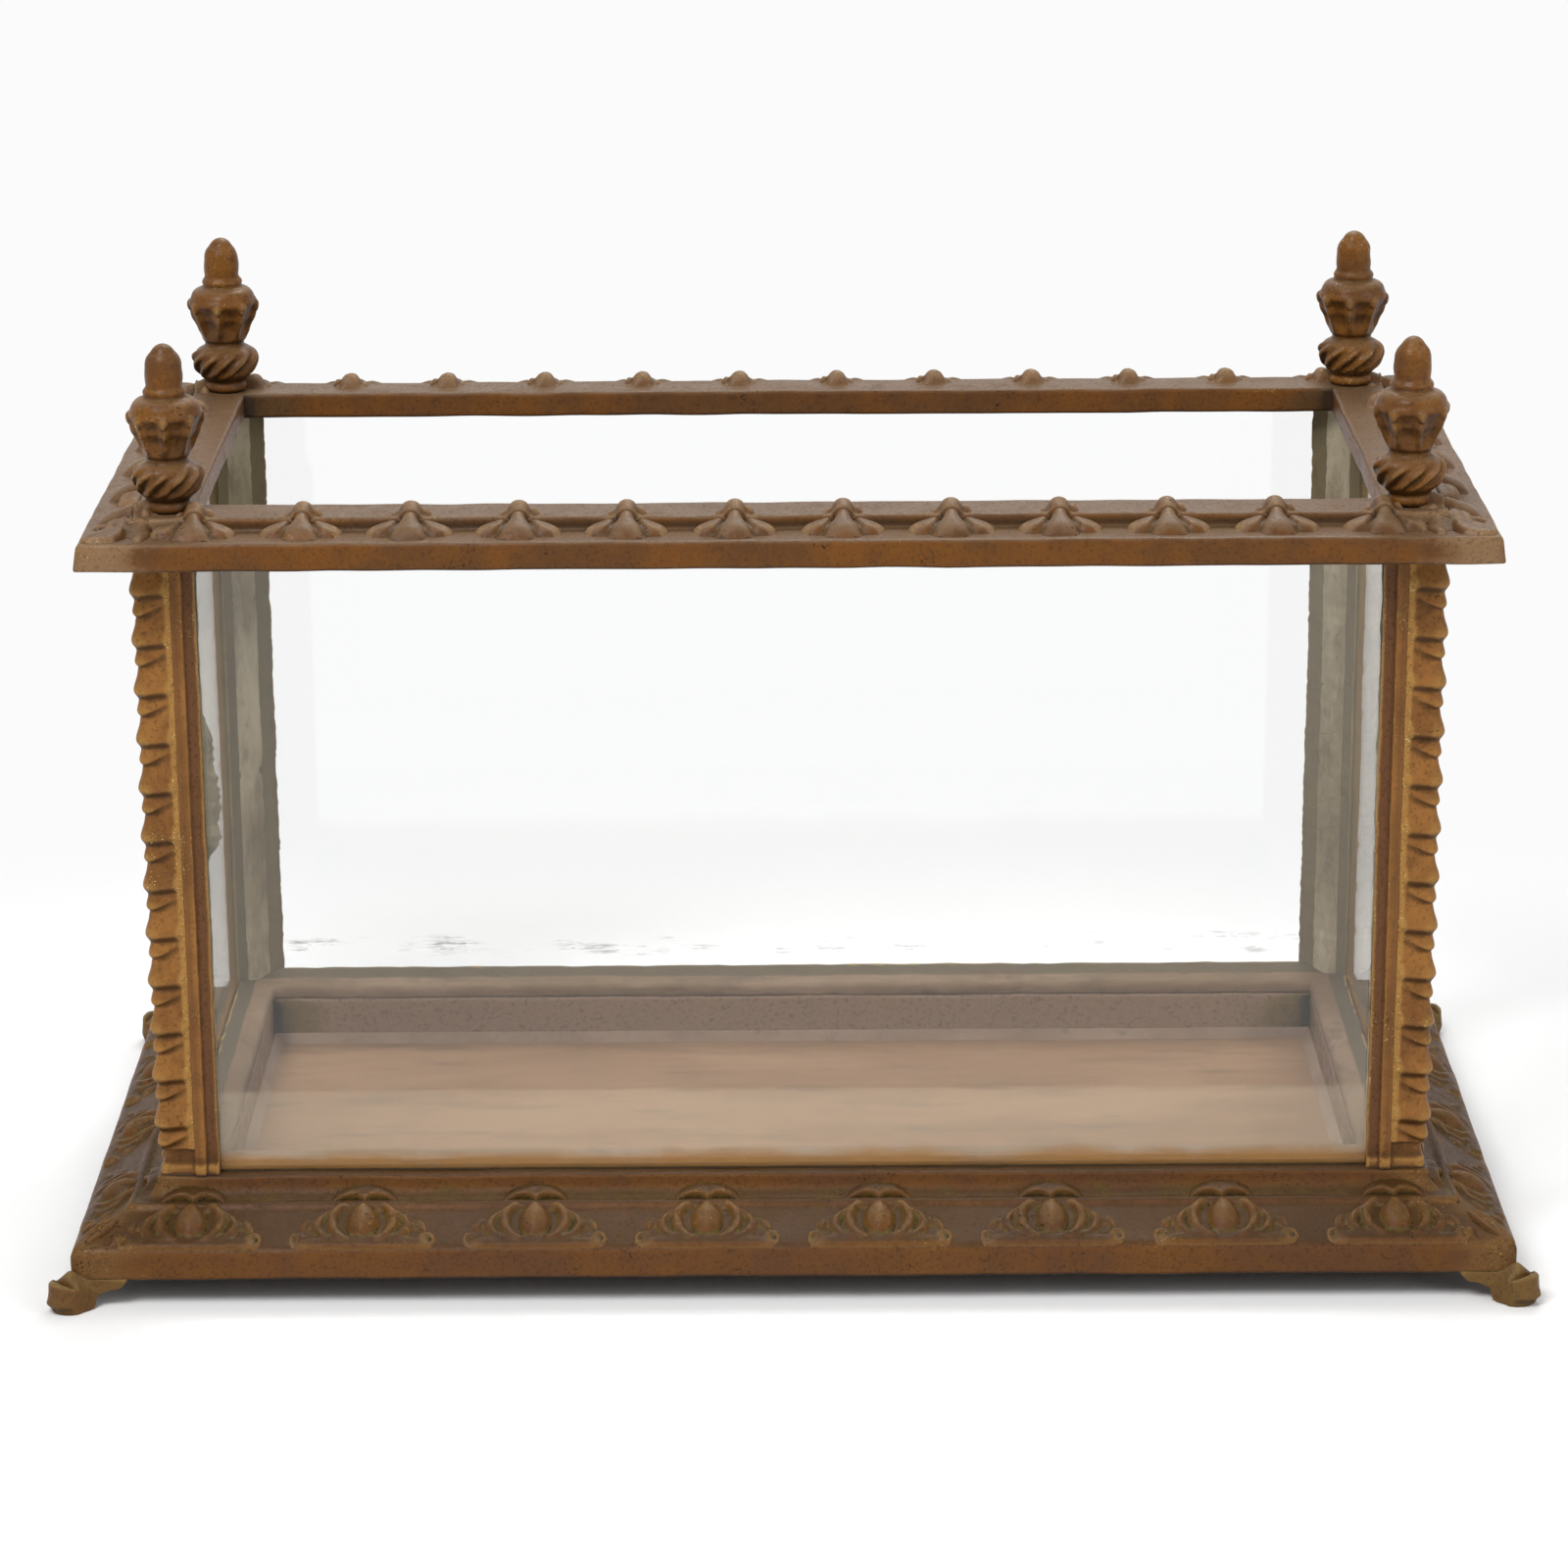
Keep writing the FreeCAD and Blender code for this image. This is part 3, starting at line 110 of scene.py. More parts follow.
def dome(u: Array, v: Array, at: Point, size: Point, height: float, turn: float = 0.0,
         steep: float = 0.5, full: float = 2.0) -> Array:
    """A raised oval boss.

    Args:
        u: Places along the side.
        v: Places up the moulding.
        at: Centre of the oval.
        size: Half its width and half its length.
        height: How far it stands up.
        turn: Its turn in degrees, anticlockwise.
        steep: Exponent of its flank: 0.5 is round, and less is flatter with steeper edges.
        full: Exponent of its outline: 2 is an oval, and more is squarer.

    Returns:
        Its height everywhere, zero outside the oval.
    """
    c, s = math.cos(math.radians(turn)), math.sin(math.radians(turn))
    du, dv = u - at[0], v - at[1]
    across, along = np.abs(du * c + dv * s) / size[0], np.abs(dv * c - du * s) / size[1]
    return height * np.clip(1 - across ** full - along ** full, 0.0, 1.0) ** steep


def ridge(distance: Array, half_width: float, height: float) -> Array:
    """A rounded ridge, from the distance to its middle line."""
    return height * np.clip(1 - (distance / half_width) ** 2, 0.0, 1.0) ** 0.6


def softened(height: Array, rounds: int, wrap: bool = False) -> Array:
    """A relief with its edges worn round, each point averaged with those beside it.

    Args:
        height: The relief, in rows.
        rounds: How often it is averaged.
        wrap: Whether the last row is the first again.

    Returns:
        The softer relief.
    """
    for _ in range(rounds):
        if wrap:
            body = height[:-1]
            body = (np.roll(body, 1, 0) + 2 * body + np.roll(body, -1, 0)) / 4
            height = np.concatenate([body, body[:1]])
        else:
            wide = np.pad(height, ((1, 1), (0, 0)), "edge")
            height = (wide[:-2] + 2 * wide[1:-1] + wide[2:]) / 4
        wide = np.pad(height, ((0, 0), (1, 1)), "edge")
        height = (wide[:, :-2] + 2 * wide[:, 1:-1] + wide[:, 2:]) / 4
    return height


@dataclass(frozen=True)
class Unevenness:
    """The gentle waviness of a casting: a seeded sum of waves.

    Attributes:
        height: Root mean square of the waves.
        shortest: Shortest wave length.
        longest: Longest wave length.
        seed: Which waves.
    """

    height: float = 0.1
    shortest: float = 10.0
    longest: float = 60.0
    seed: int = 1
    waves: int = 28

    def at(self, points: Array) -> Array:
        """The height of the waves at points in space."""
        draw = np.random.default_rng(self.seed)
        ways = draw.normal(size=(self.waves, 3))
        ways /= np.linalg.norm(ways, axis=1)[:, None]
        spread = np.linspace(0.0, 1.0, self.waves)
        lengths = self.shortest * (self.longest / self.shortest) ** spread
        phases = draw.uniform(0, 2 * math.pi, self.waves)
        total = np.zeros(len(points))
        for way, length, phase in zip(ways, lengths, phases):
            total += np.cos(points @ way * (2 * math.pi / length) + phase)
        return total * self.height * math.sqrt(2 / self.waves)


class Outline:
    """A drawn outline: points joined by lines and arcs, in offset outwards and height."""

    def __init__(self, start: Point) -> None:
        """Start at a point."""
        self.points: list[Array] = [np.array(start, float)]

    def line(self, *ends: Point) -> "Outline":
        """Straight on to each of the given points."""
        self.points.extend(np.array(end, float) for end in ends)
        return self

    def arc(self, end: Point, bulge: float, steps: int = 14) -> "Outline":
        """An arc to a point.

        Args:
            end: Where it ends.
            bulge: Its height as a share of half its chord, over zero to the right of the way.
            steps: Straight pieces that stand for it.

        Returns:
            This outline.
        """
        start, end_at = self.points[-1], np.array(end, float)
        chord = end_at - start
        right = np.array([chord[1], -chord[0]])
        quarter = math.atan(bulge)
        radius_share = 0.5 / math.sin(2 * quarter)
        centre = (start + end_at) / 2 - right * radius_share * math.cos(2 * quarter)
        spoke = start - centre
        for step in range(1, steps + 1):
            angle = 4 * quarter * step / steps
            c, s = math.cos(angle), math.sin(angle)
            self.points.append(centre + np.array([spoke[0] * c - spoke[1] * s,
                                                  spoke[0] * s + spoke[1] * c]))
        return self

    def walk(self, step: float, rounding: float = 0.0, closed: bool = False) -> Array:
        """Points along the outline at an even step.

        Args:
            step: The distance between two points.
            rounding: How far each corner is softened.
            closed: Whether the outline returns to its start.

        Returns:
            The points, one a row.
        """
        corners = self.points + [self.points[0]] if closed else self.points
        path = np.array(corners)
        if rounding > 0:
            fine = resampled(path, rounding / 4)
            taps = 5
            for _ in range(2):
                if closed:
                    ring = np.concatenate([fine[-taps - 1:-1], fine, fine[1:taps + 1]])
                else:
                    ring = np.concatenate([
                        2 * fine[0] - fine[taps:0:-1], fine, 2 * fine[-1] - fine[-2:-taps - 2:-1]
                    ])
                kernel = np.ones(2 * taps + 1) / (2 * taps + 1)
                fine = np.stack([np.convolve(ring[:, i], kernel, "valid") for i in (0, 1)], 1)
            path = fine
        return resampled(path, step)


def resampled(path: Array, step: float) -> Array:
    """A path walked at an even step, its ends kept."""
    along = np.concatenate([[0], np.cumsum(np.linalg.norm(np.diff(path, axis=0), axis=1))])
    count = max(2, int(round(along[-1] / step)) + 1)
    places = np.linspace(0, along[-1], count)
    return np.stack([np.interp(places, along, path[:, i]) for i in range(path.shape[1])], 1)


def normals_of(path: Array) -> Array:
    """Unit normals to the right of a flat path's way."""
    way = np.gradient(path, axis=0)
    way /= np.linalg.norm(way, axis=1)[:, None]
    return np.stack([way[:, 1], -way[:, 0]], 1)


def grid_faces(rows: int, columns: int, loop_rows: bool = False,
               loop_columns: bool = False) -> Array:
    """The quads of a grid of points whose rows follow each other.

    Args:
        rows: How many rows.
        columns: How many points in a row.
        loop_rows: Whether the last row joins the first.
        loop_columns: Whether each row's last point joins its first.

    Returns:
        Four point numbers a row.
    """
    r = np.arange(rows if loop_rows else rows - 1)[:, None]
    c = np.arange(columns if loop_columns else columns - 1)[None, :]
    r2, c2 = (r + 1) % rows, (c + 1) % columns
    quads = np.stack([r * columns + c, r * columns + c2, r2 * columns + c2, r2 * columns + c], -1)
    return quads.reshape(-1, 4)


@dataclass
class Shape:
    """A closed mesh in the making: points in millimetres and faces of any count of corners."""

    points: Array = field(default_factory=lambda: np.zeros((0, 3)))
    faces: list[Sequence[int]] = field(default_factory=list)

    def add(self, points: Array, faces: Array | Sequence[Sequence[int]]) -> "Shape":
        """Take in more points, and faces that number them from zero."""
        base = len(self.points)
        self.points = np.concatenate([self.points, np.asarray(points, float).reshape(-1, 3)])
        if isinstance(faces, np.ndarray):
            self.faces.extend((faces + base).tolist())
        else:
            self.faces.extend([i + base for i in face] for face in faces)
        return self

    def join(self, other: "Shape") -> "Shape":
        """Take in another shape."""
        return self.add(other.points, other.faces)

    def mesh(self, name: str) -> bpy.types.Mesh:
        """A Blender mesh in metres, smooth shaded."""
        mesh = bpy.data.meshes.new(name)
        mesh.from_pydata((self.points * MM).tolist(), [], self.faces)
        mesh.polygons.foreach_set("use_smooth", [True] * len(mesh.polygons))
        mesh.update()
        return mesh


def piece(name: str, mesh: bpy.types.Mesh) -> bpy.types.Object:
    """An object at the origin that shows a mesh."""
    thing = bpy.data.objects.new(name, mesh)
    bpy.context.scene.collection.objects.link(thing)
    return thing


def patch(surface: Array, inward: Array, depth: float) -> Shape:
    """A closed relief: a grid of points, with a plain back behind it.

    Args:
        surface: The visible points, rows by columns by three. The first and last points of a
            row are the ends of a straight line behind which nothing shows.
        inward: The direction that leads behind the surface, one a row.
        depth: How far behind the surface the back lies.

    Returns:
        The closed shape.
    """
    rows, columns = surface.shape[:2]
    back = np.stack([surface[:, 0], surface[:, -1]], 1) + inward[:, None, :] * depth
    faces = grid_faces(rows, columns).tolist()
    start = rows * columns
    for row in range(rows - 1):
        low, high = row * columns, (row + 1) * columns
        b_low, b_high = start + 2 * row, start + 2 * (row + 1)
        faces.append([low, high, b_high, b_low])
        faces.append([low + columns - 1, b_low + 1, b_high + 1, high + columns - 1])
        faces.append([b_low, b_high, b_high + 1, b_low + 1])
    faces.append(list(range(columns))[::-1] + [start, start + 1])
    last = (rows - 1) * columns
    faces.append(list(range(last, last + columns)) + [start + 2 * rows - 1, start + 2 * rows - 2])
    return Shape().add(np.concatenate([surface.reshape(-1, 3), back.reshape(-1, 3)]), faces)


def outward(shape: Shape) -> Shape:
    """The shape with its faces turned to point out of it."""
    volume = 0.0
    points = shape.points
    for face in shape.faces:
        a = points[face[0]]
        for i in range(1, len(face) - 1):
            b, c = points[face[i]], points[face[i + 1]]
            volume += (a[0] * (b[1] * c[2] - b[2] * c[1]) + a[1] * (b[2] * c[0] - b[0] * c[2])
                       + a[2] * (b[0] * c[1] - b[1] * c[0]))
    if volume < 0:
        shape.faces = [list(face)[::-1] for face in shape.faces]
    return shape


def lofted(points: Array, count: int) -> Shape:
    """A closed solid through cuts that follow each other, with a flat cap at each end.

    Args:
        points: The points of the cuts, one cut after the other.
        count: How many points a cut has.

    Returns:
        The solid.
    """
    cuts = len(points) // count
    faces = grid_faces(cuts, count, loop_columns=True).tolist()
    faces.append(list(range(count)))
    faces.append(list(range((cuts - 1) * count, cuts * count))[::-1])
    return outward(Shape().add(points, faces))


def mark(mesh: bpy.types.Mesh, name: str, values: Array) -> None:
    """Write a number at each point of a mesh."""
    mesh.attributes.new(name, "FLOAT", "POINT").data.foreach_set("value", values)


def mark_wear(mesh: bpy.types.Mesh, reach: int = 60, share: float = 1.0) -> None:
    """Write how far each point stands out of, or lies below, the surface round it.

    Two attributes in millimetres: "edge" where the surface juts out, and "hollow" where it
    is sunk. The finishes read them: rubbed wear on the edges, and grime with painted shade in the
    hollows.

    Args:
        mesh: The mesh to mark.
        reach: Rounds of averaging, so how wide the surface round a point is.
        share: How strongly the wear, and the painted shade in the hollows, are marked.
    """
    count = len(mesh.vertices)
    points, normals = np.zeros(count * 3), np.zeros(count * 3)
    mesh.vertices.foreach_get("co", points)
    mesh.vertex_normals.foreach_get("vector", normals)
    points, normals = points.reshape(-1, 3), normals.reshape(-1, 3)
    edges = np.zeros(len(mesh.edges) * 2, dtype=np.int64)
    mesh.edges.foreach_get("vertices", edges)
    edges = edges.reshape(-1, 2)
    start, end = np.concatenate([edges, edges[:, ::-1]]).T
    around = np.maximum(np.bincount(start, minlength=count), 1)[:, None]
    smooth = points.copy()
    out, sunk = np.zeros(count), np.zeros(count)
    for turn in range(1, reach + 1):
        near = np.stack([np.bincount(start, smooth[end, i], count) for i in range(3)], 1)
        smooth = 0.5 * smooth + 0.5 * near / around
        if turn in (4, 16, reach):
            lift = np.einsum("ij,ij->i", smooth - points, normals) / MM
            weight = 2.2 / math.sqrt(turn)
            out = np.maximum(out, -lift * weight)
            sunk = np.maximum(sunk, lift * weight)
    mark(mesh, "edge", out * share)
    mark(mesh, "hollow", sunk * share)


def shelter(mesh: bpy.types.Mesh, around: Shape | None = None, reach: float = 8.0,
            rays: int = 26) -> Array:
    """How sheltered each point of a mesh is, from 0 in the open to 1 in a closed hollow.

    Args:
        mesh: The mesh.
        around: What stands round it, in millimetres.
        reach: How far away a wall still shelters.
        rays: How many ways are looked at.

    Returns:
        One number a point. The finishes read it from the attribute "shelter" and lay painted
        shade (ambient occlusion) where it is high.
    """
    count = len(mesh.vertices)
    points, normals = np.zeros(count * 3), np.zeros(count * 3)
    mesh.vertices.foreach_get("co", points)
    mesh.vertex_normals.foreach_get("vector", normals)
    points, normals = points.reshape(-1, 3) / MM, normals.reshape(-1, 3)
    walls = Shape().add(points, [list(face.vertices) for face in mesh.polygons])
    if around is not None:
        walls.join(around)
    tree = BVHTree.FromPolygons(walls.points.tolist(), walls.faces)
    number = np.arange(rays) + 0.5
    tilt, spin = np.arccos(1 - 2 * number / rays), math.pi * (1 + 5 ** 0.5) * number
    ways = np.stack([np.cos(spin) * np.sin(tilt), np.sin(spin) * np.sin(tilt), np.cos(tilt)], 1)
    facing = normals @ ways.T
    starts = points + normals * 0.12
    found = np.zeros(count)
    for i in range(count):
        start, met, looked = Vector(starts[i]), 0.0, 0.0
        for k in np.nonzero(facing[i] > 0.1)[0]:
            looked += facing[i, k]
            if tree.ray_cast(start, Vector(ways[k]), reach)[0] is not None:
                met += facing[i, k]
        found[i] = met / max(looked, 0.1)
    return found


class Wiring:
    """A node tree while it is wired up."""

    def __init__(self, tree: bpy.types.NodeTree) -> None:
        """Take hold of a tree."""
        self.tree = tree

    def add(self, kind: str, feeds: dict[Any, Any] | None = None, **settings: Any) -> Any:
        """A new node.

        Args:
            kind: Its Blender type.
            feeds: What each input takes: a value, a socket or a node.
            settings: Its properties.

        Returns:
            The node.
        """
        node = self.tree.nodes.new(kind)
        for key, value in settings.items():
            setattr(node, key, value)
        for key, value in (feeds or {}).items():
            self.feed(node.inputs[key], value)
        return node

    def feed(self, socket: bpy.types.NodeSocket, value: Any) -> None:
        """Link a socket or a node's first output to an input, or set its value."""
        if isinstance(value, bpy.types.NodeSocket):
            self.tree.links.new(value, socket)
        elif isinstance(value, bpy.types.Node):
            self.tree.links.new(value.outputs[0], socket)
        elif isinstance(value, tuple) and len(value) == 3 and socket.type == "RGBA":
            socket.default_value = (*value, 1.0)
        else:
            socket.default_value = value


    def math(self, kind: str, *values: Any) -> Any:
        """A sum of the given kind on one to three values."""
        return self.add("ShaderNodeMath", dict(enumerate(values)), operation=kind).outputs[0]

    def times(self, first: Any, second: Any) -> Any:
        """Two values multiplied."""
        return self.math("MULTIPLY", first, second)

    def plus(self, value: Any, other: Any, share: float = 1.0) -> Any:
        """A value with a share of another added."""
        return self.math("ADD", value, self.times(other, share))

    def most(self, *values: Any) -> Any:
        """The greatest of some values."""
        top = values[0]
        for value in values[1:]:
            top = self.math("MAXIMUM", top, value)
        return top

    def seen(self) -> Any:
        """1 for what the camera sees, straight, in a mirror or through glass."""
        rays = self.add("ShaderNodeLightPath").outputs
        return self.most(*(rays[f"Is {kind} Ray"] for kind in ("Camera", "Glossy",
                                                               "Transmission")))


class LayoutWiring(Wiring):
    """A Geometry Nodes tree while it is wired up, with named inputs and one mesh out."""

    def __init__(self, name: str, inputs: dict[str, str]) -> None:
        """Start a tree.

        Args:
            name: Its name.
            inputs: The kind of each named input.
        """
        super().__init__(bpy.data.node_groups.new(name, "GeometryNodeTree"))
        sockets = self.tree.interface
        for label, kind in {"Geometry": "Geometry", **inputs, "Finish": "Material"}.items():
            sockets.new_socket(label, in_out="INPUT", socket_type=f"NodeSocket{kind}")
        sockets.new_socket("Geometry", in_out="OUTPUT", socket_type="NodeSocketGeometry")
        self.given = self.add("NodeGroupInput").outputs

    def shown(self, label: str) -> Any:
        """The mesh of the object that a named input holds."""
        return self.add("GeometryNodeObjectInfo", {
            "Object": self.given[label]
        }).outputs["Geometry"]

    def vector(self, **parts: Any) -> Any:
        """A vector from its X, Y and Z."""
        return self.add("ShaderNodeCombineXYZ", parts)

    def closed(self, geometry: Any) -> bpy.types.NodeTree:
        """The tree, ended in Realize Instances and Set Material."""
        real = self.add("GeometryNodeRealizeInstances", {0: geometry})
        self.add("NodeGroupOutput", {0: self.add("GeometryNodeSetMaterial", {
            0: real, "Material": self.given["Finish"]
        })})
        return self.tree


class ShaderWiring(Wiring):
    """A material's node tree while it is wired up."""

    def __init__(self, name: str) -> None:
        """Start an empty material."""
        self.material = bpy.data.materials.new(name)
        self.material.use_nodes = True
        self.material.node_tree.nodes.clear()
        super().__init__(self.material.node_tree)
        self.place = self.add("ShaderNodeTexCoord").outputs["Object"]
        self.normal = self.add("ShaderNodeNewGeometry").outputs["Normal"]

    def noise(self, scale: float, detail: float = 4.0, rough: float = 0.55,
              shift: float = 0.0, stretch: Sequence[float] = (1, 1, 1)) -> Any:
        """Cloudy noise in space.

        Args:
            scale: Waves per metre.
            detail: Octaves.
            rough: Strength of each octave against the last.
            shift: Where in the noise to look, in metres.
            stretch: Scale along each axis.

        Returns:
            The socket with values round 0.5.
        """
        place = self.place
        if shift or tuple(stretch) != (1, 1, 1):
            place = self.add("ShaderNodeMapping", {
                "Vector": place, "Location": (shift, shift * 0.7, -shift), "Scale": tuple(stretch)
            })
        return self.add("ShaderNodeTexNoise", {
            "Vector": place, "Scale": scale, "Detail": detail, "Roughness": rough
        }).outputs["Fac"]

    def attribute(self, name: str) -> Any:
        """A number that the mesh carries at each point."""
        return self.add("ShaderNodeAttribute", attribute_name=name).outputs["Fac"]

    def step(self, value: Any, low: float, high: float) -> Any:
        """A smooth step of a value from 0 at low to 1 at high."""
        return self.add("ShaderNodeMapRange", {
            "Value": value, "From Min": low, "From Max": high
        }, interpolation_type="SMOOTHSTEP").outputs["Result"]

    def mix(self, share: Any, first: Any, second: Any) -> Any:
        """A colour between two, by a share."""
        return self.add("ShaderNodeMix", {0: share, 6: first, 7: second},
                        data_type="RGBA").outputs[2]

    def coat(self, under: Any, over: Any, value: Any, low: float, high: float,
             share: Any = 1.0) -> Any:
        """A colour laid over another where a value steps up.

        Args:
            under: The colour below.
            over: The colour on top.
            value: What decides where it lies.
            low: The value where it starts.
            high: The value where it is full.
            share: How much of it covers there.

        Returns:
            The colour.
        """
        return self.mix(self.times(self.step(value, low, high), share), under, over)

    def upward(self) -> Any:
        """How far the surface faces up, from -1 to 1."""
        return self.add("ShaderNodeSeparateXYZ", {0: self.normal}).outputs["Z"]

    def bump(self, height: Any, depth: float) -> Any:
        """A normal bumped by a height from 0 to 1, where 1 stands for a depth in millimetres."""
        return self.add("ShaderNodeBump", {
            "Height": height, "Distance": depth * MM, "Strength": 1.0
        }).outputs["Normal"]

    def finish(self, shader: Any) -> bpy.types.Material:
        """Send a shader to the surface, and give the material."""
        out = self.add("ShaderNodeOutputMaterial")
        self.feed(out.inputs["Surface"], shader)
        return self.material


@dataclass(frozen=True)
class IronPaint:
    """Old bronze paint on cast iron, rubbed, dusty and pitted, with painted light and shade laid
    on.

    Attributes:
        name: Name of the material.
        body: The paint where it is whole.
        drift: The tone it drifts to in patches.
        hollow: What has gathered in the recesses, and the painted shade laid there and in
            sheltered places.
        deep: The dark of the deepest lines, pits and grain, and the painted shade laid in
            recesses, sheltered places and on faces that look down.
        worn: The rubbed edges.
        top: The faces that look up: dust, and painted light, a painted sheen where it is paler
            than the body and painted shade where it is darker.
        fleck: Small bright flecks.
        zone: The tone of the parts that the mesh marks as a zone of their own.
        pits: How many dark pits, from 0 to 1.
        rough: The paint's roughness.
        grain: How deep the casting's grain is, in millimetres.
        top_share: How much of the faces that look up has their dust and painted light.
        flecks: How many flecks, from 0 to 1.
        gloss: How strongly it mirrors.
        shift: Where in the noise this paint looks.
    """

    name: str
    body: Colour
    drift: Colour
    hollow: Colour
    deep: Colour
    worn: Colour
    top: Colour
    fleck: Colour
    zone: Colour = (0.1, 0.06, 0.03)
    pits: float = 0.5
    rough: float = 0.45
    grain: float = 0.12
    top_share: float = 0.7
    flecks: float = 0.5
    gloss: float = 0.12
    shift: float = 0.0

    def material(self) -> bpy.types.Material:
        """The paint as a material."""
        w = ShaderWiring(self.name)
        broad = w.noise(18, 4, 0.6, self.shift + 1.3)
        middle = w.noise(95, 5, 0.68, self.shift + 4.1)
        fine = w.noise(620, 3, 0.7, self.shift + 7.7)
        edge, zone = w.attribute("edge"), w.attribute("zone")
        off_middle, off_fine = w.math("SUBTRACT", middle, 0.5), w.math("SUBTRACT", fine, 0.5)
        colour = w.coat(self.body, self.drift, w.plus(broad, off_middle, 0.5), 0.36, 0.64)
        # Faces that look up take the top tone: dust, and painted light, paler as a painted sheen
        # on the rim and finials, darker as painted shade on the base.
        colour = w.coat(colour, self.top, w.plus(w.upward(), off_middle, 0.9), 0.45, 0.9,
                        self.top_share)
        colour = w.mix(zone, colour, self.zone)
        # sunk and shelter_here say how far each point lies in a recess or is closed in; the coats
        # below lay grime and painted shade (ambient occlusion) there.
        sunk = w.plus(w.attribute("hollow"), off_middle, 0.35)
        shelter_here = w.plus(w.attribute("shelter"), off_middle, 0.25)
        rubbed = w.plus(w.plus(edge, off_fine, 0.55), off_middle, 0.3)
        for tone, value, low, high, share in (
            (self.hollow, sunk, 0.02, 0.22, 0.7), (self.deep, sunk, 0.22, 0.75, 0.85),
            # Painted shade: faces that look down are darkened as if lit only from above.
            (self.deep, w.upward(), -0.08, -0.65, 0.7),
            (self.hollow, shelter_here, 0.15, 0.5, 0.45),
            (self.deep, shelter_here, 0.3, 0.8, 0.8),
            (self.worn, rubbed, 0.13, 0.45, 0.75), (self.deep, fine, 0.50, 0.68, 0.42),
        ):
            colour = w.coat(colour, tone, value, low, high, share)
        gleam = w.times(w.step(w.noise(1150, 2, 0.6, self.shift + 2.0), 0.62, 0.68),
                        w.step(w.plus(broad, edge, 0.35), 0.66 - 0.14 * self.flecks, 0.74))
        colour = w.mix(w.times(gleam, 0.8), colour, self.fleck)
        patchy = w.step(w.noise(42, 3, 0.6, self.shift + 12.0), 0.64 - 0.14 * self.pits, 0.66)
        pit = w.times(w.step(w.noise(760, 2, 0.6, self.shift), 0.40, 0.34), patchy)
        pit = w.times(pit, w.math("SUBTRACT", 1.0, zone))
        colour = w.mix(w.times(pit, 0.9), colour, self.deep)
        height = w.plus(w.plus(w.times(fine, 0.7), middle, 1.2), pit, -0.9)
        rough = w.plus(w.plus(self.rough, off_fine, 0.5), w.step(middle, 0.45, 0.7), 0.15)
        shader = w.add("ShaderNodeBsdfPrincipled", {
            "Base Color": colour, "Roughness": rough, "Normal": w.bump(height, self.grain),
            "Metallic": 0.0, "Specular IOR Level": self.gloss,
        })
        return w.finish(shader)


# In each paint below, the sixth colour (top) is dust with painted light on faces that look up,
# and the fourth colour also lays painted shade in recesses and under overhangs.
BASE_PAINT = IronPaint(
    "base_bronze_paint", srgb("593920"), srgb("643f1b"), srgb("5c4d22"), srgb("1f160e"),
    srgb("6e4f2c"), srgb("3d2a15"), srgb("9d7a3c"), zone=srgb("7d6653"), pits=0.8,
    rough=0.42, top_share=0.8, flecks=0.35, shift=0.0,
)
FOOT_PAINT = IronPaint(
    "foot_bronze_paint", srgb("6b512d"), srgb("654526"), srgb("6f6132"), srgb("2a1d12"),
    srgb("8c6c38"), srgb("6e6040"), srgb("9d7a3c"), pits=0.7, top_share=0.6, shift=80.0,
)
RIM_PAINT = IronPaint(
    "rim_bronze_paint", srgb("59391c"), srgb("6c4217"), srgb("4d3b23"), srgb("22140a"),
    srgb("8a6d4f"), srgb("6c533b"), srgb("b8944e"), pits=0.2, rough=0.40, top_share=1.0,
    flecks=0.25, gloss=0.16, shift=20.0,
)
POST_PAINT = IronPaint(
    "post_bronze_paint", srgb("8f6131"), srgb("714a26"), srgb("523619"), srgb("26180c"),
    srgb("a47a40"), srgb("86653a"), srgb("d3c27c"), zone=srgb("634128"), pits=0.7,
    rough=0.40, flecks=0.5, gloss=0.12, shift=40.0,
)
FINIAL_PAINT = IronPaint(
    "finial_bronze_paint", srgb("5e3c1c"), srgb("774a16"), srgb("453418"), srgb("1e130a"),
    srgb("927046"), srgb("775a3c"), srgb("cfc592"), pits=0.2, rough=0.34, grain=0.08,
    top_share=0.7, flecks=1.2, gloss=0.16, shift=60.0,
)


@dataclass
class RodPlan:
    """Where the four tie rods stand.

    Attributes:
        half_length: Half the distance between the rods along X.
        half_depth: The same along Y.
    """

    half_length: float = 250.0
    half_depth: float = 107.0

    def rod(self, corner: Corner) -> Array:
        """The foot of a corner's rod."""
        sx, sy, _ = corner.value
        return np.array([sx * self.half_length, sy * self.half_depth, 0.0])

    def mirrored(self, shape: Shape, corner: Corner) -> Shape:
        """A shape drawn about the back right rod, mirrored into a corner."""
        sx, sy, _ = corner.value
        points = shape.points * np.array([sx, sy, 1.0]) + self.rod(corner)
        return outward(Shape(points, list(shape.faces)))

    def outwards(self, points: Array) -> Array:
        """How far points lie outside the lines that join the rods."""
        x, y, _ = np.abs(points).T
        return np.maximum(x - self.half_length, y - self.half_depth)


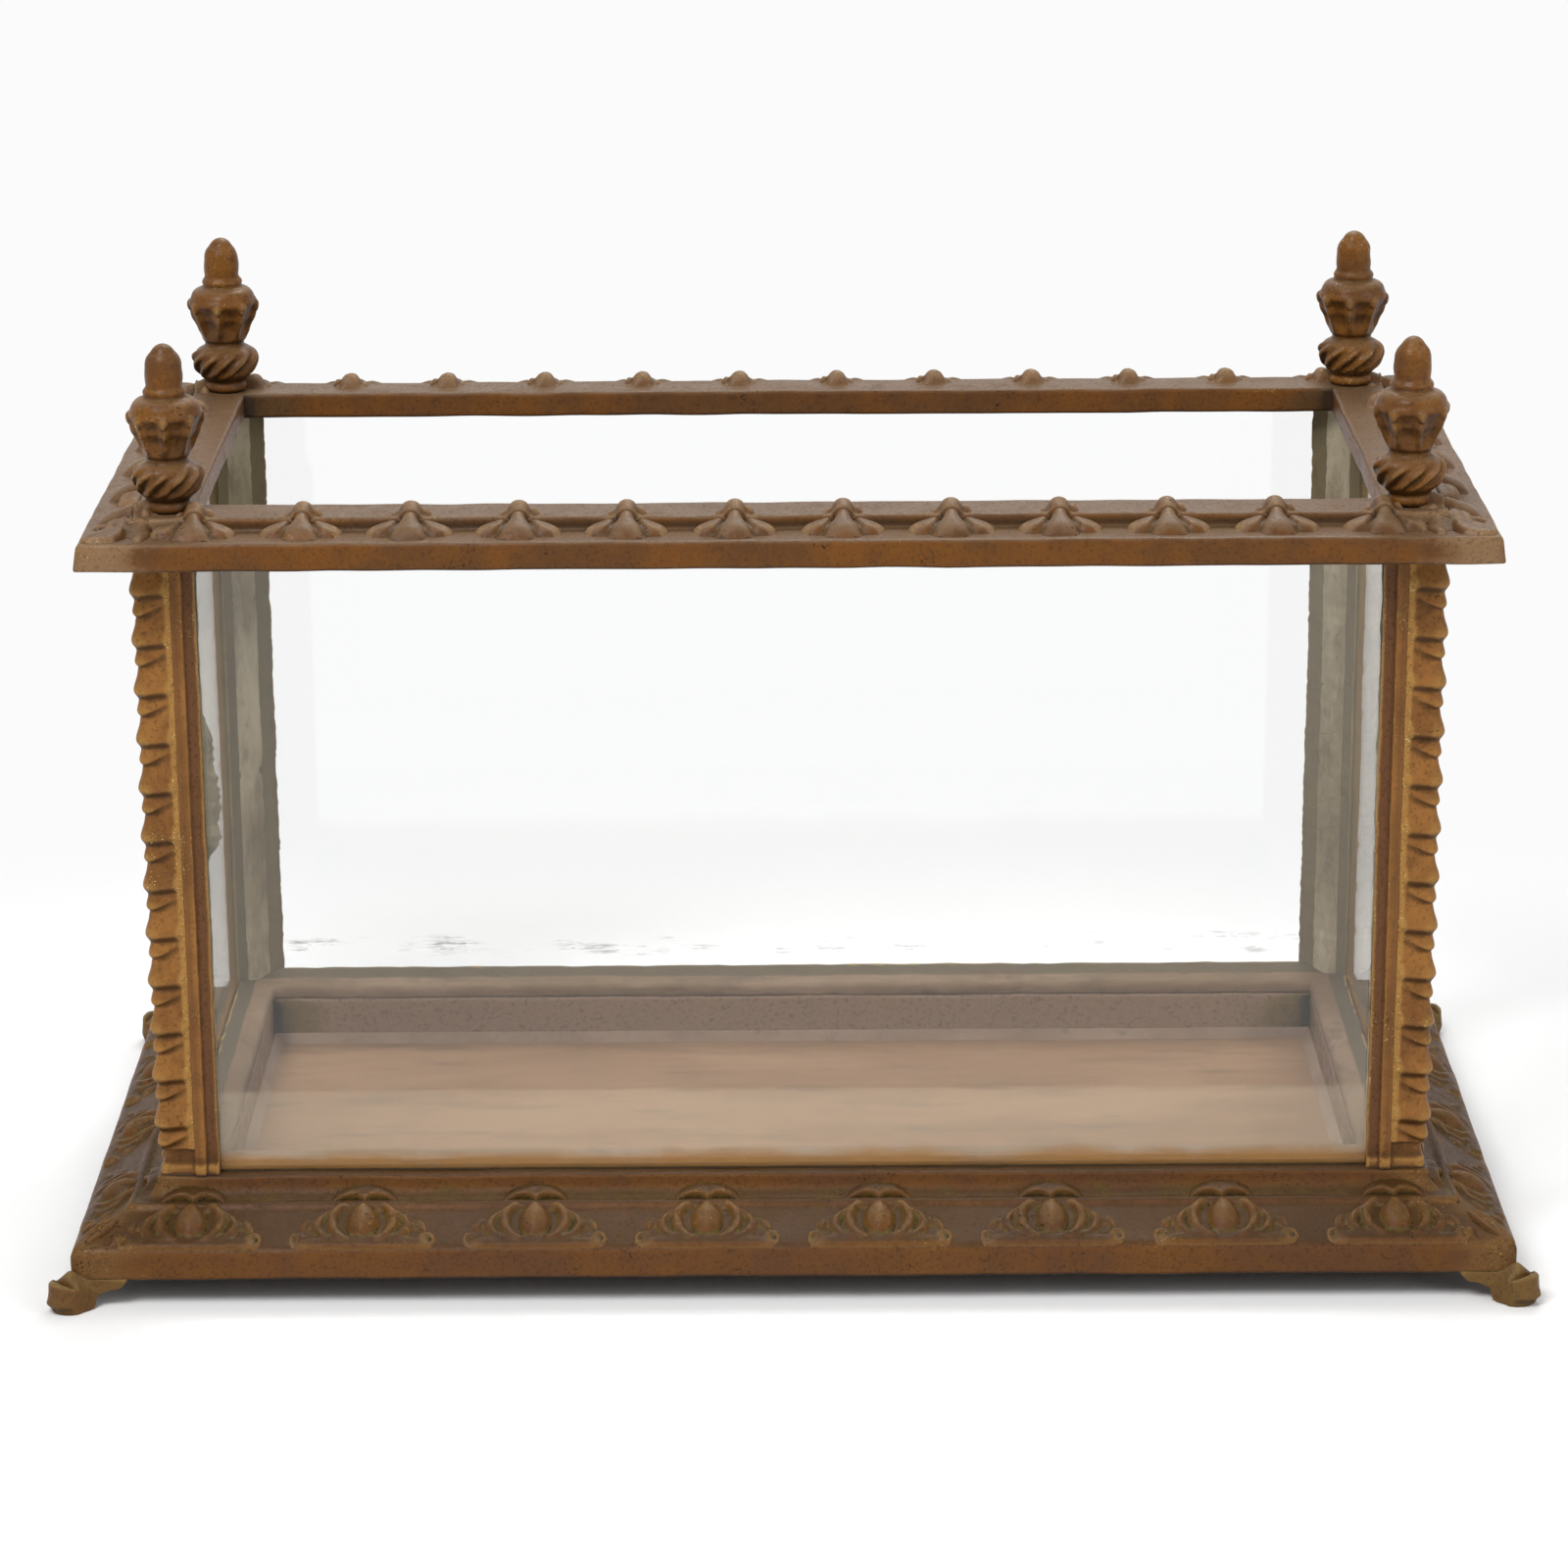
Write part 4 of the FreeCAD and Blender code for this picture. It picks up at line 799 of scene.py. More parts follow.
@dataclass
class MouldedRing(RodPlan):
    """A moulding that runs round the tank with mitred corners, as one closed casting.

    Attributes:
        station: The greatest distance between two cuts of the moulding.
        fineness: The distance between two points of a cut.
        rounding: How far the moulding's corners are softened.
    """

    station: float = 6.0
    fineness: float = 0.9
    rounding: float = 0.9

    def sweep(self, profile: Outline, waves: Unevenness) -> Shape:
        """Carry a closed outline round the four sides.

        Args:
            profile: The outline, in distance out from the rods' line and height.
            waves: The unevenness of the casting.

        Returns:
            The closed ring.
        """
        cut = self.cut(profile, self.fineness)
        stations = []
        for side in Side:
            along, across = self.spans(side)
            count = int(math.ceil(2 * (along + 20) / self.station))
            for share in np.linspace(-1, 1, count + 1)[:-1]:
                flat = np.stack([share * (along + cut[:, 0]), -(across + cut[:, 0])], 1)
                angle = math.radians(side.value)
                c, s = math.cos(angle), math.sin(angle)
                stations.append(np.stack([
                    flat[:, 0] * c - flat[:, 1] * s, flat[:, 0] * s + flat[:, 1] * c, cut[:, 1]
                ], 1))
        points = np.concatenate(stations)
        for axis in range(3):
            spread = Unevenness(waves.height, waves.shortest, waves.longest, waves.seed + axis)
            points[:, axis] += spread.at(points + axis)
        faces = grid_faces(len(stations), len(cut), loop_rows=True, loop_columns=True)
        return outward(Shape().add(points, faces))

    def cut(self, profile: Outline, step: float) -> Array:
        """The points of an outline whose corners are softened, at an even step."""
        return profile.walk(step, self.rounding, closed=True)[:-1]

    def stretch(self, profile: Outline, *places: float, step: float = 1.2) -> Shape:
        """A straight length of the moulding on the rods' line, with a cut at each place."""
        cut = self.cut(profile, step)
        rows = [np.column_stack([np.full(len(cut), x), -cut[:, 0], cut[:, 1]]) for x in places]
        return Shape().add(np.concatenate(rows),
                           grid_faces(len(places), len(cut), loop_columns=True))

    def hollows(self, profile: Outline, shape: Shape) -> Array:
        """How sheltered each point of the swept ring is, by the moulding's own cut, for the
        painted shade in its hollows.
        """
        length = outward(self.stretch(profile, -60.0, 0.0, 60.0, step=self.fineness))
        mesh, count = length.mesh("moulding_length"), len(length.points) // 3
        values = shelter(mesh, reach=12.0, rays=90)[count:2 * count]
        bpy.data.meshes.remove(mesh)
        return np.tile(values, len(shape.points) // count)

    def spans(self, side: Side) -> tuple[float, float]:
        """Half the length of a side between its rods, and its rods' distance from the middle."""
        if side in (Side.FRONT, Side.BACK):
            return self.half_length, self.half_depth
        return self.half_depth, self.half_length


def relief(path: Array, across: Array, height: Callable[[Array, Array], Array],
           soft: int = 1, sunk: float = 0.6, depth: float = 2.0,
           mitred: bool = False) -> Shape:
    """A carved relief laid on a moulding, for the middle of the front's rod line.

    Args:
        path: The moulding's line, in distance out and height.
        across: Places along the side.
        height: The relief as a function of places across and along the path.
        soft: How often the relief is averaged.
        sunk: How far the plain ground lies below the moulding.
        depth: How far the closed back lies behind.
        mitred: Whether it is cut to end inside the mitre where it stands at a corner.

    Returns:
        The closed relief.
    """
    along = np.concatenate([[0], np.cumsum(np.linalg.norm(np.diff(path, axis=0), axis=1))])
    normal = normals_of(path)
    u, v = np.meshgrid(across, along)
    if mitred:
        u = u * np.minimum(1.0, (path[:, 0][:, None] - 0.9) / np.abs(across).max())
    lift = softened(height(u, v), soft) - sunk
    out = path[:, 0][:, None] + normal[:, 0][:, None] * lift
    rise = path[:, 1][:, None] + normal[:, 1][:, None] * lift
    surface = np.stack([u, -out, rise], -1)
    inward = np.stack([np.zeros(len(path)), normal[:, 0], -normal[:, 1]], 1)
    return outward(patch(surface, inward, depth))


@dataclass(kw_only=True)
class Run(RodPlan):
    """One ornament set out along all four sides, by Geometry Nodes.

    Attributes:
        name: Name of the finished piece.
        long_count: How many stand along the front and along the back.
        short_count: How many stand along each end.
        pitch: The distance from one to the next.
        variation: How much their sizes differ.
        seed: Which sizes.
    """

    name: str
    long_count: int
    short_count: int
    pitch: float
    variation: float = 0.02
    seed: int = 7

    def tree(self) -> bpy.types.NodeTree:
        """The tree that sets the ornament out."""
        w = LayoutWiring("ornament_run", {
            "Ornament": "Object", "Long count": "Int", "Short count": "Int", "Pitch": "Float",
            "Half length": "Float", "Half depth": "Float", "Variation": "Float", "Seed": "Int",
        })
        given, motif = w.given, w.shown("Ornament")
        joined = w.add("GeometryNodeJoinGeometry")
        for side in Side:
            is_long = side in (Side.FRONT, Side.BACK)
            count = given["Long count" if is_long else "Short count"]
            out = given["Half depth" if is_long else "Half length"]
            span = w.times(w.math("SUBTRACT", count, 1.0), given["Pitch"])
            line = w.add("GeometryNodeMeshLine", {
                "Count": count, "Offset": w.vector(X=given["Pitch"]),
                "Start Location": w.vector(X=w.times(span, -0.5), Y=w.times(out, -1.0)),
            }, mode="OFFSET")
            size = w.add("FunctionNodeRandomValue", {
                2: w.math("SUBTRACT", 1.0, given["Variation"]),
                3: w.math("ADD", 1.0, given["Variation"]), "Seed": given["Seed"],
                "ID": w.math("ADD", w.add("GeometryNodeInputIndex").outputs[0],
                             float(side.value)),
            }, data_type="FLOAT")
            placed = w.add("GeometryNodeInstanceOnPoints", {
                "Points": line, "Instance": motif,
                "Scale": w.vector(X=size.outputs[1], Y=1.0, Z=1.0),
            })
            w.feed(joined.inputs[0], w.add("GeometryNodeTransform", {
                "Geometry": placed, "Rotation": (0.0, 0.0, math.radians(side.value))
            }))
        return w.closed(joined)

    def build(self, ornament: Shape, finish: bpy.types.Material,
              around: Shape) -> bpy.types.Object:
        """Set an ornament out round the tank.

        Args:
            ornament: The ornament at the middle of the front's rod line, with that line as Y 0.
            finish: Its material.
            around: The moulding that it stands on.

        Returns:
            One object with the whole run.
        """
        mesh = ornament.mesh(f"{self.name}_ornament")
        mark_wear(mesh)
        # The ornament's shelter, the moulding round it counted, is laid on as painted shade.
        mark(mesh, "shelter", shelter(mesh, around))
        source = piece(f"{self.name}_ornament", mesh)
        return realised(self.name, self.tree(), {
            "Ornament": source, "Long count": self.long_count, "Short count": self.short_count,
            "Pitch": self.pitch * MM, "Half length": self.half_length * MM,
            "Half depth": self.half_depth * MM, "Variation": self.variation,
            "Seed": self.seed, "Finish": finish,
        }, [source])


def realised(name: str, tree: bpy.types.NodeTree, values: dict[str, Any],
             spent: Sequence[bpy.types.Object] = ()) -> bpy.types.Object:
    """A plain mesh object from a Geometry Nodes tree.

    Args:
        name: Name of the object.
        tree: The tree.
        values: What each named input takes.
        spent: Objects that only the tree needed, which are deleted.

    Returns:
        The object, with no modifier on it.
    """
    carrier = piece(name, bpy.data.meshes.new(f"{name}_seed"))
    modifier = carrier.modifiers.new("layout", "NODES")
    modifier.node_group = tree
    for item in tree.interface.items_tree:
        if item.in_out == "INPUT" and item.name in values:
            modifier[item.identifier] = values[item.name]
    carrier.update_tag()
    depsgraph = bpy.context.evaluated_depsgraph_get()
    mesh = bpy.data.meshes.new_from_object(carrier.evaluated_get(depsgraph), depsgraph=depsgraph)
    carrier.modifiers.remove(modifier)
    carrier.data = mesh
    mesh.name = name
    for thing in spent:
        bpy.data.objects.remove(thing)
    return carrier


def settle(thing: bpy.types.Object, body: str, nodes: Sequence[str]) -> None:
    """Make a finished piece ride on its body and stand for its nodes."""
    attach(thing, body)
    if nodes:
        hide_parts(*nodes)
    log.info("%s: %d faces on %s", thing.name, len(thing.data.polygons), body)


def dressed(name: str, shape: Shape, finish: bpy.types.Material,
            zone: Array | None = None, wear: float = 1.0,
            sheltered: Shape | Array | None = None) -> bpy.types.Object:
    """An object that shows a shape in a finish, with its wear, its shelter for painted shade and
    its zone marked.

    Args:
        name: Name of the object.
        shape: Its shape.
        finish: Its material.
        zone: The zone of each point.
        wear: How strongly the wear, and the painted shade in the hollows, are marked.
        sheltered: How sheltered each point is, or what stands round it and shelters it; the paint
            lays painted shade where it is sheltered.

    Returns:
        The object.
    """
    mesh = shape.mesh(name)
    mark_wear(mesh, share=wear)
    if isinstance(sheltered, Shape):
        sheltered = shelter(mesh, sheltered)
    if sheltered is not None:
        mark(mesh, "shelter", sheltered)
    if zone is not None:
        mark(mesh, "zone", zone)
    mesh.materials.append(finish)
    return piece(name, mesh)


@dataclass
class BaseCasting:
    """The moulded base: its ring, the shells carved along it and the leaves by its mitres."""

    ring: MouldedRing = field(default_factory=MouldedRing)
    shell_pitch: float = 71.5
    shell_fineness: float = 0.9

    def profile(self) -> Outline:
        """The cut through the casting."""
        return (Outline((44.25, 12)).line((48.75, 12), (48.75, 24)).arc((47.4, 25.5), -0.4, 6)
                .line((27.4, 35)).arc((23.4, 36.1), 0.9).arc((15.9, 42), -0.414)
                .line((15.9, 44.9), (-12, 44.9), (-12, 16), (-26, 16), (-26, 12), (-7.5, 12),
                      (-7.5, 40.4), (12.15, 40.4), (22.9, 30.5), (42.9, 21)))

    def field_path(self) -> Array:
        """The line up the sloping field and over the bead that the carving follows."""
        return (Outline((47.9, 25.0)).line((27.6, 34.8)).arc((18.5, 37.0), -0.25)
                .arc((15.2, 43.2), -0.25)).walk(self.shell_fineness, 1.0)

    def shell_relief(self, u: Array, v: Array) -> Array:
        """One shell: an egg between curved strands, under an arched crest, on a mound."""
        egg_width = 6.5 * (1 - 0.17 * (v - 15.5) / 9.3)
        egg = 5.6 * np.clip(1 - (u / egg_width) ** 2 - ((v - 15.5) / 9.4) ** 2, 0, 1) ** 0.46
        egg = egg - 0.4 * np.exp(-((np.abs(u) - 2.5) / 0.6) ** 2) * ramp(egg, 2.0, 4.0)
        height = egg
        for radius, tall, at, rise in ((11.4, 11.6, 15.4, 3.2), (13.4, 12.0, 14.8, 3.4),
                                       (17.8, 10.6, 13.2, 2.9), (19.8, 9.8, 12.4, 2.5)):
            away = (np.hypot(u / radius, (v - at) / tall) - 1) * radius
            strand = ridge(away, 1.35, rise) * ramp(v, 1.5, 5.0) * ramp(27.5 - v, 0.0, 4.0)
            height = meld(height, strand * ramp(np.abs(u), 2.0, 5.0), 0.3)
        for side, strength in ((-1, 0.85), (1, 1.1)):
            leaf = dome(u, v, (side * 23.2, 12.8), (2.5, 4.6), 2.0, turn=side * 24, steep=0.5)
            height = meld(height, leaf, 0.3)
            curl = np.hypot(u - side * 26.6, v - 4.9)
            rim = ridge(curl - 3.0, 1.2, 2.2 * strength) + ridge(curl, 1.3, 1.2)
            height = meld(height, rim * ramp(v, 0.4, 1.5), 0.35)
        top = 8.3 + 0.5 * np.sin(u * 0.55 + 0.8) - 1.6 * ramp(np.abs(u), 14.0, 25.0)
        mound = 2.2 * ramp(26.5 - np.abs(u), 0.0, 1.5) * ramp(v, 0.4, 1.2)
        mound *= np.clip((top - v) / 2.0, 0, 1) ** 0.6
        height = meld(height, mound, 0.4)
        low = 29.2 - 3.4 * ((np.abs(u) - 5.6) / 7.6) ** 2 - 2.0 * np.exp(-(u / 1.7) ** 2)
        high = 28.4 + 9.2 * np.sqrt(np.clip(1 - (u / 14.2) ** 2, 0, 1))
        share = np.clip((v - low) / np.maximum(high - low, 0.4), 0, 1)
        crest = 4.6 * np.clip((v - low) / 1.5, 0, 1) ** 0.5 * np.sqrt(1 - share ** 2)
        crest *= np.clip(1 - (u / 14.2) ** 2, 0, 1) ** 0.35
        height = meld(height, crest * (v > low), 0.25)
        waver = 0.16 * np.sin(u * 1.1 + 1.3) * np.sin(v * 0.9 + u * 0.3)
        sunk = 1.7 * ramp(np.abs(u), 29.2, 30.6) + 0.7 * ramp(v, 33.0, 38.0) * (crest < 0.3)
        return height + np.where(height > 0.4, waver, 0.0) - sunk

    def corner_relief(self, along: Array, v: Array, mitre: Array) -> Array:
        """The pointed leaf that lies along the mitre, and the comma boss beside it.

        Args:
            along: Distance from the skirt's end.
            v: Distance up the field.
            mitre: Distance of the mitre from the skirt's end.

        Returns:
            The height of the relief.
        """
        beside = along - mitre - 2.3 - 0.5 * np.sin((v - 4) * 0.26)
        shape = np.clip(1 - ((v - 10.4) / 7.2) ** 2, 0, 1)
        leaf = 2.9 * shape ** 0.5 * np.clip(1 - (beside / (0.5 + 1.9 * shape)) ** 2, 0, 1) ** 0.5
        boss = dome(along, v, (19.2, 6.2), (3.1, 3.4), 2.6, turn=-20, steep=0.5)
        tail = dome(along, v, (17.0, 3.4), (3.2, 1.6), 1.4, turn=30, steep=0.5)
        return meld(meld(leaf, boss, 0.4), tail, 0.4)

    def corner_carving(self, corner: Corner, hand: int) -> Shape:
        """The relief on one of the two sides that meet at a corner.

        Args:
            corner: Which corner.
            hand: 1 for the side along X, and -1 for the side along Y.

        Returns:
            The closed relief in place.
        """
        path = self.field_path()
        path = path[: int(len(path) * 0.52)]
        up = np.concatenate([[0], np.cumsum(np.linalg.norm(np.diff(path, axis=0), axis=1))])
        normal = normals_of(path)
        inset, v = np.meshgrid(np.arange(0.5, 17.0, 0.6), up)
        out, rise = path[:, 0][:, None], path[:, 1][:, None]
        mitre = 48.75 - out
        lift = softened(self.corner_relief(mitre + inset, v, mitre), 1) - 0.6
        across = out + normal[:, 0][:, None] * lift
        high = rise + normal[:, 1][:, None] * lift
        along = np.broadcast_to(out - inset, across.shape)
        surface = np.stack([along, across, high], -1)
        inward = np.stack([np.zeros(len(path)), -normal[:, 0], -normal[:, 1]], 1)
        shape = patch(surface, inward, 1.6)
        if hand < 0:
            shape.points = shape.points[:, [1, 0, 2]]
        return self.ring.mirrored(shape, corner)

    def corners(self) -> Shape:
        """The pointed leaves by the mitres."""
        made = Shape()
        for corner in Corner:
            for hand in (-1, 1):
                made.join(self.corner_carving(corner, hand))
        return made

    def build(self) -> None:
        """Make the casting and its carving."""
        paint, profile = BASE_PAINT.material(), self.profile()
        body = self.ring.sweep(profile, Unevenness(0.10, 14, 90, seed=11))
        lining = (self.ring.outwards(body.points) < -7.0) & (np.abs(body.points[:, 2]) < 46.0)
        lining = lining.astype(float)
        # The moulding's hollows, outside the lining, get painted shade from their shelter.
        sheltered = self.ring.hollows(profile, body) * (1 - lining)
        settle(dressed("base_casting", body, paint, lining, wear=0.3, sheltered=sheltered),
               TANK, ["base_plinth"])
        run = Run(name="base_shells", long_count=8, short_count=4, pitch=self.shell_pitch,
                  variation=0.015, seed=5)
        us = np.arange(-31.0, 31.01, self.shell_fineness)
        shell = relief(self.field_path(), us, self.shell_relief, depth=1.2, mitred=True)
        settle(run.build(shell, paint, self.ring.stretch(profile, -45.0, 45.0)), TANK, [])
        # The corner leaves take painted shade where the ring shelters them.
        settle(dressed("base_corner_carving", self.corners(), paint, sheltered=body), TANK, [])


@dataclass
class TopRim:
    """The rim: its ring, the leaves on its shelf and the long leaves at its corners."""

    ring: MouldedRing = field(default_factory=MouldedRing)
    leaf_pitch: float = 43.4
    fineness: float = 0.7

    def profile(self) -> Outline:
        """The cut through the rim."""
        return (Outline((-9, 317.1)).line((-5.5, 317.1), (-5.5, 324.1), (11.6, 324.1),
                                          (11.6, 318.7), (29.8, 318.7), (31.3, 311.4),
                                          (35.3, 311.4), (33.8, 322.7), (15, 322.7),
                                          (14.2, 328.1), (-9, 328.1)))

    def leaf(self) -> Shape:
        """One leaf: a nose from the bar down to a toe on the shelf, and a petal each side."""
        us = np.arange(-17.2, 17.21, self.fineness)
        outs = np.arange(1.6, 31.0, self.fineness)
        u, out = np.meshgrid(us, outs)
        ground = 327.4 - 5.4 * ramp(out, 13.4, 14.7)
        away = np.abs(u)
        line = 333.6 - 7.0 * np.clip((out - 8.0) / 19.0, 0, 1.2)
        knob = np.sqrt(np.clip(1 - ((8.2 - np.minimum(out, 8.2)) / 5.6) ** 2, 0, 1))
        end = np.clip(1 - ((np.maximum(out, 24.4) - 24.4) / 5.2) ** 2, 0, 1) ** 0.42
        half = 4.6 - 0.6 * ramp(out, 9, 14) + 3.2 * ramp(out, 16, 24)
        nose = (line - ground) * knob * end * np.clip(1 - (away / half) ** 2, 0, 1) ** 0.36
        flare = (line - ground) * 0.42 * knob * end
        flare = flare * np.clip(1 - (away / (half + 2.2)) ** 2, 0, 1) ** 0.6
        height = meld(nose, flare, 0.4)
        for side, strength in ((-1, 0.7), (1, 1.15)):
            petal = dome(u, out, (side * 9.3, 19.0), (7.9, 5.7), 7.6 - 0.26 * away,
                         turn=side * 14, steep=0.36, full=2.7)
            crease = 0.5 * np.exp(-((out - 17.2 - 0.3 * away) / 0.7) ** 2) * (petal > 1.5)
            petal = (petal - crease) * ramp(out, 12.8, 15.2) * ramp(away, half - 2.4, half + 2.0)
            ear = dome(u, out, (side * 5.8, 8.9), (2.4, 2.3), 3.1 * strength, steep=0.7)
            height = meld(meld(height, petal, 0.35), ear, 0.4)
        height = softened(height, 1)
        shown = ramp(height, 0.05, 0.5)
        surface = np.stack([u, -out, (ground + height) * shown + 321.2 * (1 - shown)], -1)
        return outward(patch(surface, np.tile([0.0, 0.0, -1.0], (len(outs), 1)), 0.8))

    def corner_leaf(self, corner: Corner) -> Shape:
        """The long leaf that points from one rod's bar corner out to the rim's corner."""
        x, y = np.meshgrid(np.arange(3.0, 33.4, 0.65), np.arange(3.0, 33.4, 0.65),
                           indexing="ij")
        far, side, round_rod = (x + y) * DIAGONAL, (y - x) * DIAGONAL, np.hypot(x, y)
        ground = 327.4 - 5.4 * ramp(np.maximum(x, y), 13.8, 15.4)
        dust = 328.0 - 5.8 * np.clip((round_rod - 18.0) / 12.0, 0, 1) ** 0.8
        dust = ground + (np.maximum(dust, ground) - ground) * ramp(np.minimum(x, y), 3.5, 10.0)
        bend = side - 0.9 * np.sin((far - 24) * 0.2)
        spread = np.clip(1 - ((far - 34.0) / 9.8) ** 2, 0, 1)
        inside = np.clip(1 - (bend / (0.1 + 6.6 * spread ** 0.5)) ** 2, 0, 1) * (spread > 0.02)
        petal = (4.6 - 0.12 * (far - 26)) * inside ** 0.24 - 0.5 * ridge(bend, 1.0, 1.0)
        height = meld(dust - ground, petal * (inside > 0), 0.5)
        for turn in (-27.0, 25.0):
            c, d = math.cos(math.radians(turn)), math.sin(math.radians(turn))
            along, away = far * c + side * d, side * c - far * d
            vein = ridge(away - 0.5 * np.sin(along * 0.3), 2.4, 2.6)
            vein = vein * ramp(along, 18, 22) * ramp(along, 33.5, 29)
            height = meld(height, vein, 0.5)
        height = softened(height, 1)
        shown = ramp(height, 0.45, 0.9)
        z = (ground + height) * shown + 321.2 * (1 - shown)
        surface = np.stack([x, y, z], -1)
        shape = patch(surface, np.tile([0.0, 0.0, -1.0], (len(surface), 1)), 1.0)
        return self.ring.mirrored(shape, corner)

    def build(self) -> None:
        """Make the rim and its leaves."""
        paint, profile = RIM_PAINT.material(), self.profile()
        body = self.ring.sweep(profile, Unevenness(0.12, 14, 90, seed=31))
        # The rim's hollows, such as the step under the bar, get painted shade, twice as strong as
        # their shelter.
        sheltered = 2.0 * self.ring.hollows(profile, body)
        settle(dressed("rim_casting", body, paint, wear=0.35, sheltered=sheltered), TANK,
               ["top_rim"])
        run = Run(name="rim_leaves", long_count=12, short_count=6, pitch=self.leaf_pitch,
                  variation=0.03, seed=9)
        leaves = run.build(self.leaf(), paint, self.ring.stretch(profile, -45.0, 45.0))
        settle(leaves, TANK, [])
        long_leaves = Shape()
        for corner in Corner:
            long_leaves.join(self.corner_leaf(corner))
        # The long leaves take painted shade where the rim shelters them.
        settle(dressed("rim_corner_leaves", long_leaves, paint, sheltered=body), TANK, [])


@dataclass
class CornerPosts(RodPlan):
    """The four angle posts, each with its chain of husks down the corner.

    Each husk runs one row of points on under its neighbours, lower by the tuck, so that no
    joint shows between them.
    """

    low: float = 44.9
    high: float = 318.7
    first_husk: float = 56.9
    pitch: float = 20.9
    count: int = 12
    face: float = 14.4
    reach: float = 14.6
    fineness: float = 0.62
    steps: int = 34
    tuck: float = 0.03

    def section(self) -> Outline:
        """The cut through the back right post, with the channel that the husks lie in."""
        f, low = self.face, self.face - 1.5
        return (Outline((-10.2, 13.2)).line((-10.2, 10.8), (10.8, 10.8), (10.8, -10.2),
                                            (13.2, -10.2), (13.2, -8.6), (12.8, -8.3),
                                            (13.2, -8.0), (13.2, -5.3), (12.9, -5.1),
                                            (13.2, -4.9), (f, -4.9), (f, -0.4), (low, 0.3))
                .line((low, low - 2.4)).arc((low - 2.4, low), 0.414, 6)
                .line((0.3, low), (-0.4, f), (-4.9, f), (-4.9, 13.2), (-5.1, 12.9),
                      (-5.3, 13.2), (-8.0, 13.2), (-8.3, 12.8), (-8.6, 13.2)))

    def bar(self) -> Shape:
        """The plain angle bar with its wider foot."""
        cut = self.section().walk(0.8, 0.35, closed=True)[:-1]
        levels = np.concatenate([[self.low], np.arange(self.low + 1.5, self.high, 2.2),
                                 [self.high]])
        rows = []
        for z in levels:
            swell = 1.3 * float(ramp(np.array(z), 50.8, 49.4))
            out = np.where(cut > 6, swell, 0.0)
            rows.append(np.column_stack([cut + out, np.full(len(cut), z)]))
        points = np.concatenate(rows)
        points[:, 0] += Unevenness(0.09, 12, 80, seed=51).at(points)
        points[:, 1] += Unevenness(0.09, 12, 80, seed=52).at(points)
        return lofted(points, len(cut))

    def husk_relief(self, a: Array, z: Array) -> tuple[Array, Array]:
        """One husk: a tongue that swells to a rolled shoulder, over a hooked lower leaf.

        Args:
            a: Distance round the post from its arris.
            z: Height over the husk's foot.

        Returns:
            The height of the relief, and the grime and painted shade under its edges.
        """
        far, down = np.abs(a), self.pitch - z
        bow = down + 0.9 * (far / 14.0) ** 2
        width = 6.4 + 7.8 * ramp(down, -1.0, 8.0)
        rise = np.where(bow < 10.2, 5.6, 2.5)
        height = (0.5 + 2.3 * np.exp(-((bow - 10.2) / rise) ** 2)) * ramp(bow, 16.0, 13.0)
        height = height * np.clip(1 - (far / width) ** 2.6, 0, 1) ** 0.6
        # Painted shade with grime: a dark band under the rolled shoulder.
        grime_and_painted_light = ramp(bow, 9.4, 11.2) * ramp(bow, 14.6, 12.6) * ramp(far, 14.2, 12.6)
        for drop in (down, down + self.pitch):
            lower = 21.2 - 6.4 * (far / 12.5) ** 1.4
            leaf = 0.6 + 1.3 * ramp(drop, 12.5, 19.5)
            leaf = leaf * ramp(drop, 11.2, 13.8) * ramp(lower - drop, -0.3, 1.7)
            leaf = leaf * np.clip(1 - (far / 13.9) ** 3, 0, 1) ** 0.6
            height = meld(height, leaf, 0.5)
            # Painted shade with grime under each lower leaf's hook.
            hook = ramp(drop - lower, -1.6, 0.2) * ramp(drop - lower, 3.2, 0.8)
            grime_and_painted_light = np.maximum(grime_and_painted_light, hook * ramp(far, 1.5, 4.5) * ramp(far, 13.8, 11.6))
        return softened(height, 1, wrap=True) - 0.7, softened(grime_and_painted_light, 5, wrap=True)

    def husk(self, count: int = 1) -> tuple[Shape, Array]:
        """Husks laid round the arris, the lowest foot at height zero, for the back right post.

        Args:
            count: How many, one over the other.

        Returns:
            The closed strip, and the grime and painted shade at each of its points.
        """
        f, r = self.face, 3.4
        plan = (Outline((f, f - self.reach)).line((f, f - r)).arc((f - r, f), 0.414, 10)
                .line((f - self.reach, f))).walk(self.fineness)
        along = np.linspace(-0.5, 0.5, len(plan)) * self.fineness * (len(plan) - 1)
        normal = normals_of(plan)
        lift, grime_and_painted_light = self.husk_relief(*np.meshgrid(along, np.linspace(0.0, self.pitch,
                                                                      self.steps + 1)))
        rows = np.arange(-1, self.steps * count + 2)
        lift, grime_and_painted_light = lift[rows % self.steps], grime_and_painted_light[rows % self.steps]
        lift[[0, -1]] -= self.tuck
        levels = rows * self.pitch / self.steps
        surface = np.stack([plan[:, 0] + normal[:, 0] * lift, plan[:, 1] + normal[:, 1] * lift,
                            np.broadcast_to(levels[:, None], lift.shape)], -1)
        inward = np.tile([-DIAGONAL, -DIAGONAL, 0.0], (len(levels), 1))
        grime_and_painted_light = np.concatenate([grime_and_painted_light.ravel(), np.zeros(2 * len(levels))])
        return outward(patch(surface, inward, 1.0)), grime_and_painted_light

    def husk_mesh(self) -> bpy.types.Mesh:
        """One husk with its wear and painted shade, taken from the middle of three so that they
        join unseen.
        """
        three, grime_and_painted_light = self.husk(3)
        trial = three.mesh("three_husks")
        mark_wear(trial)
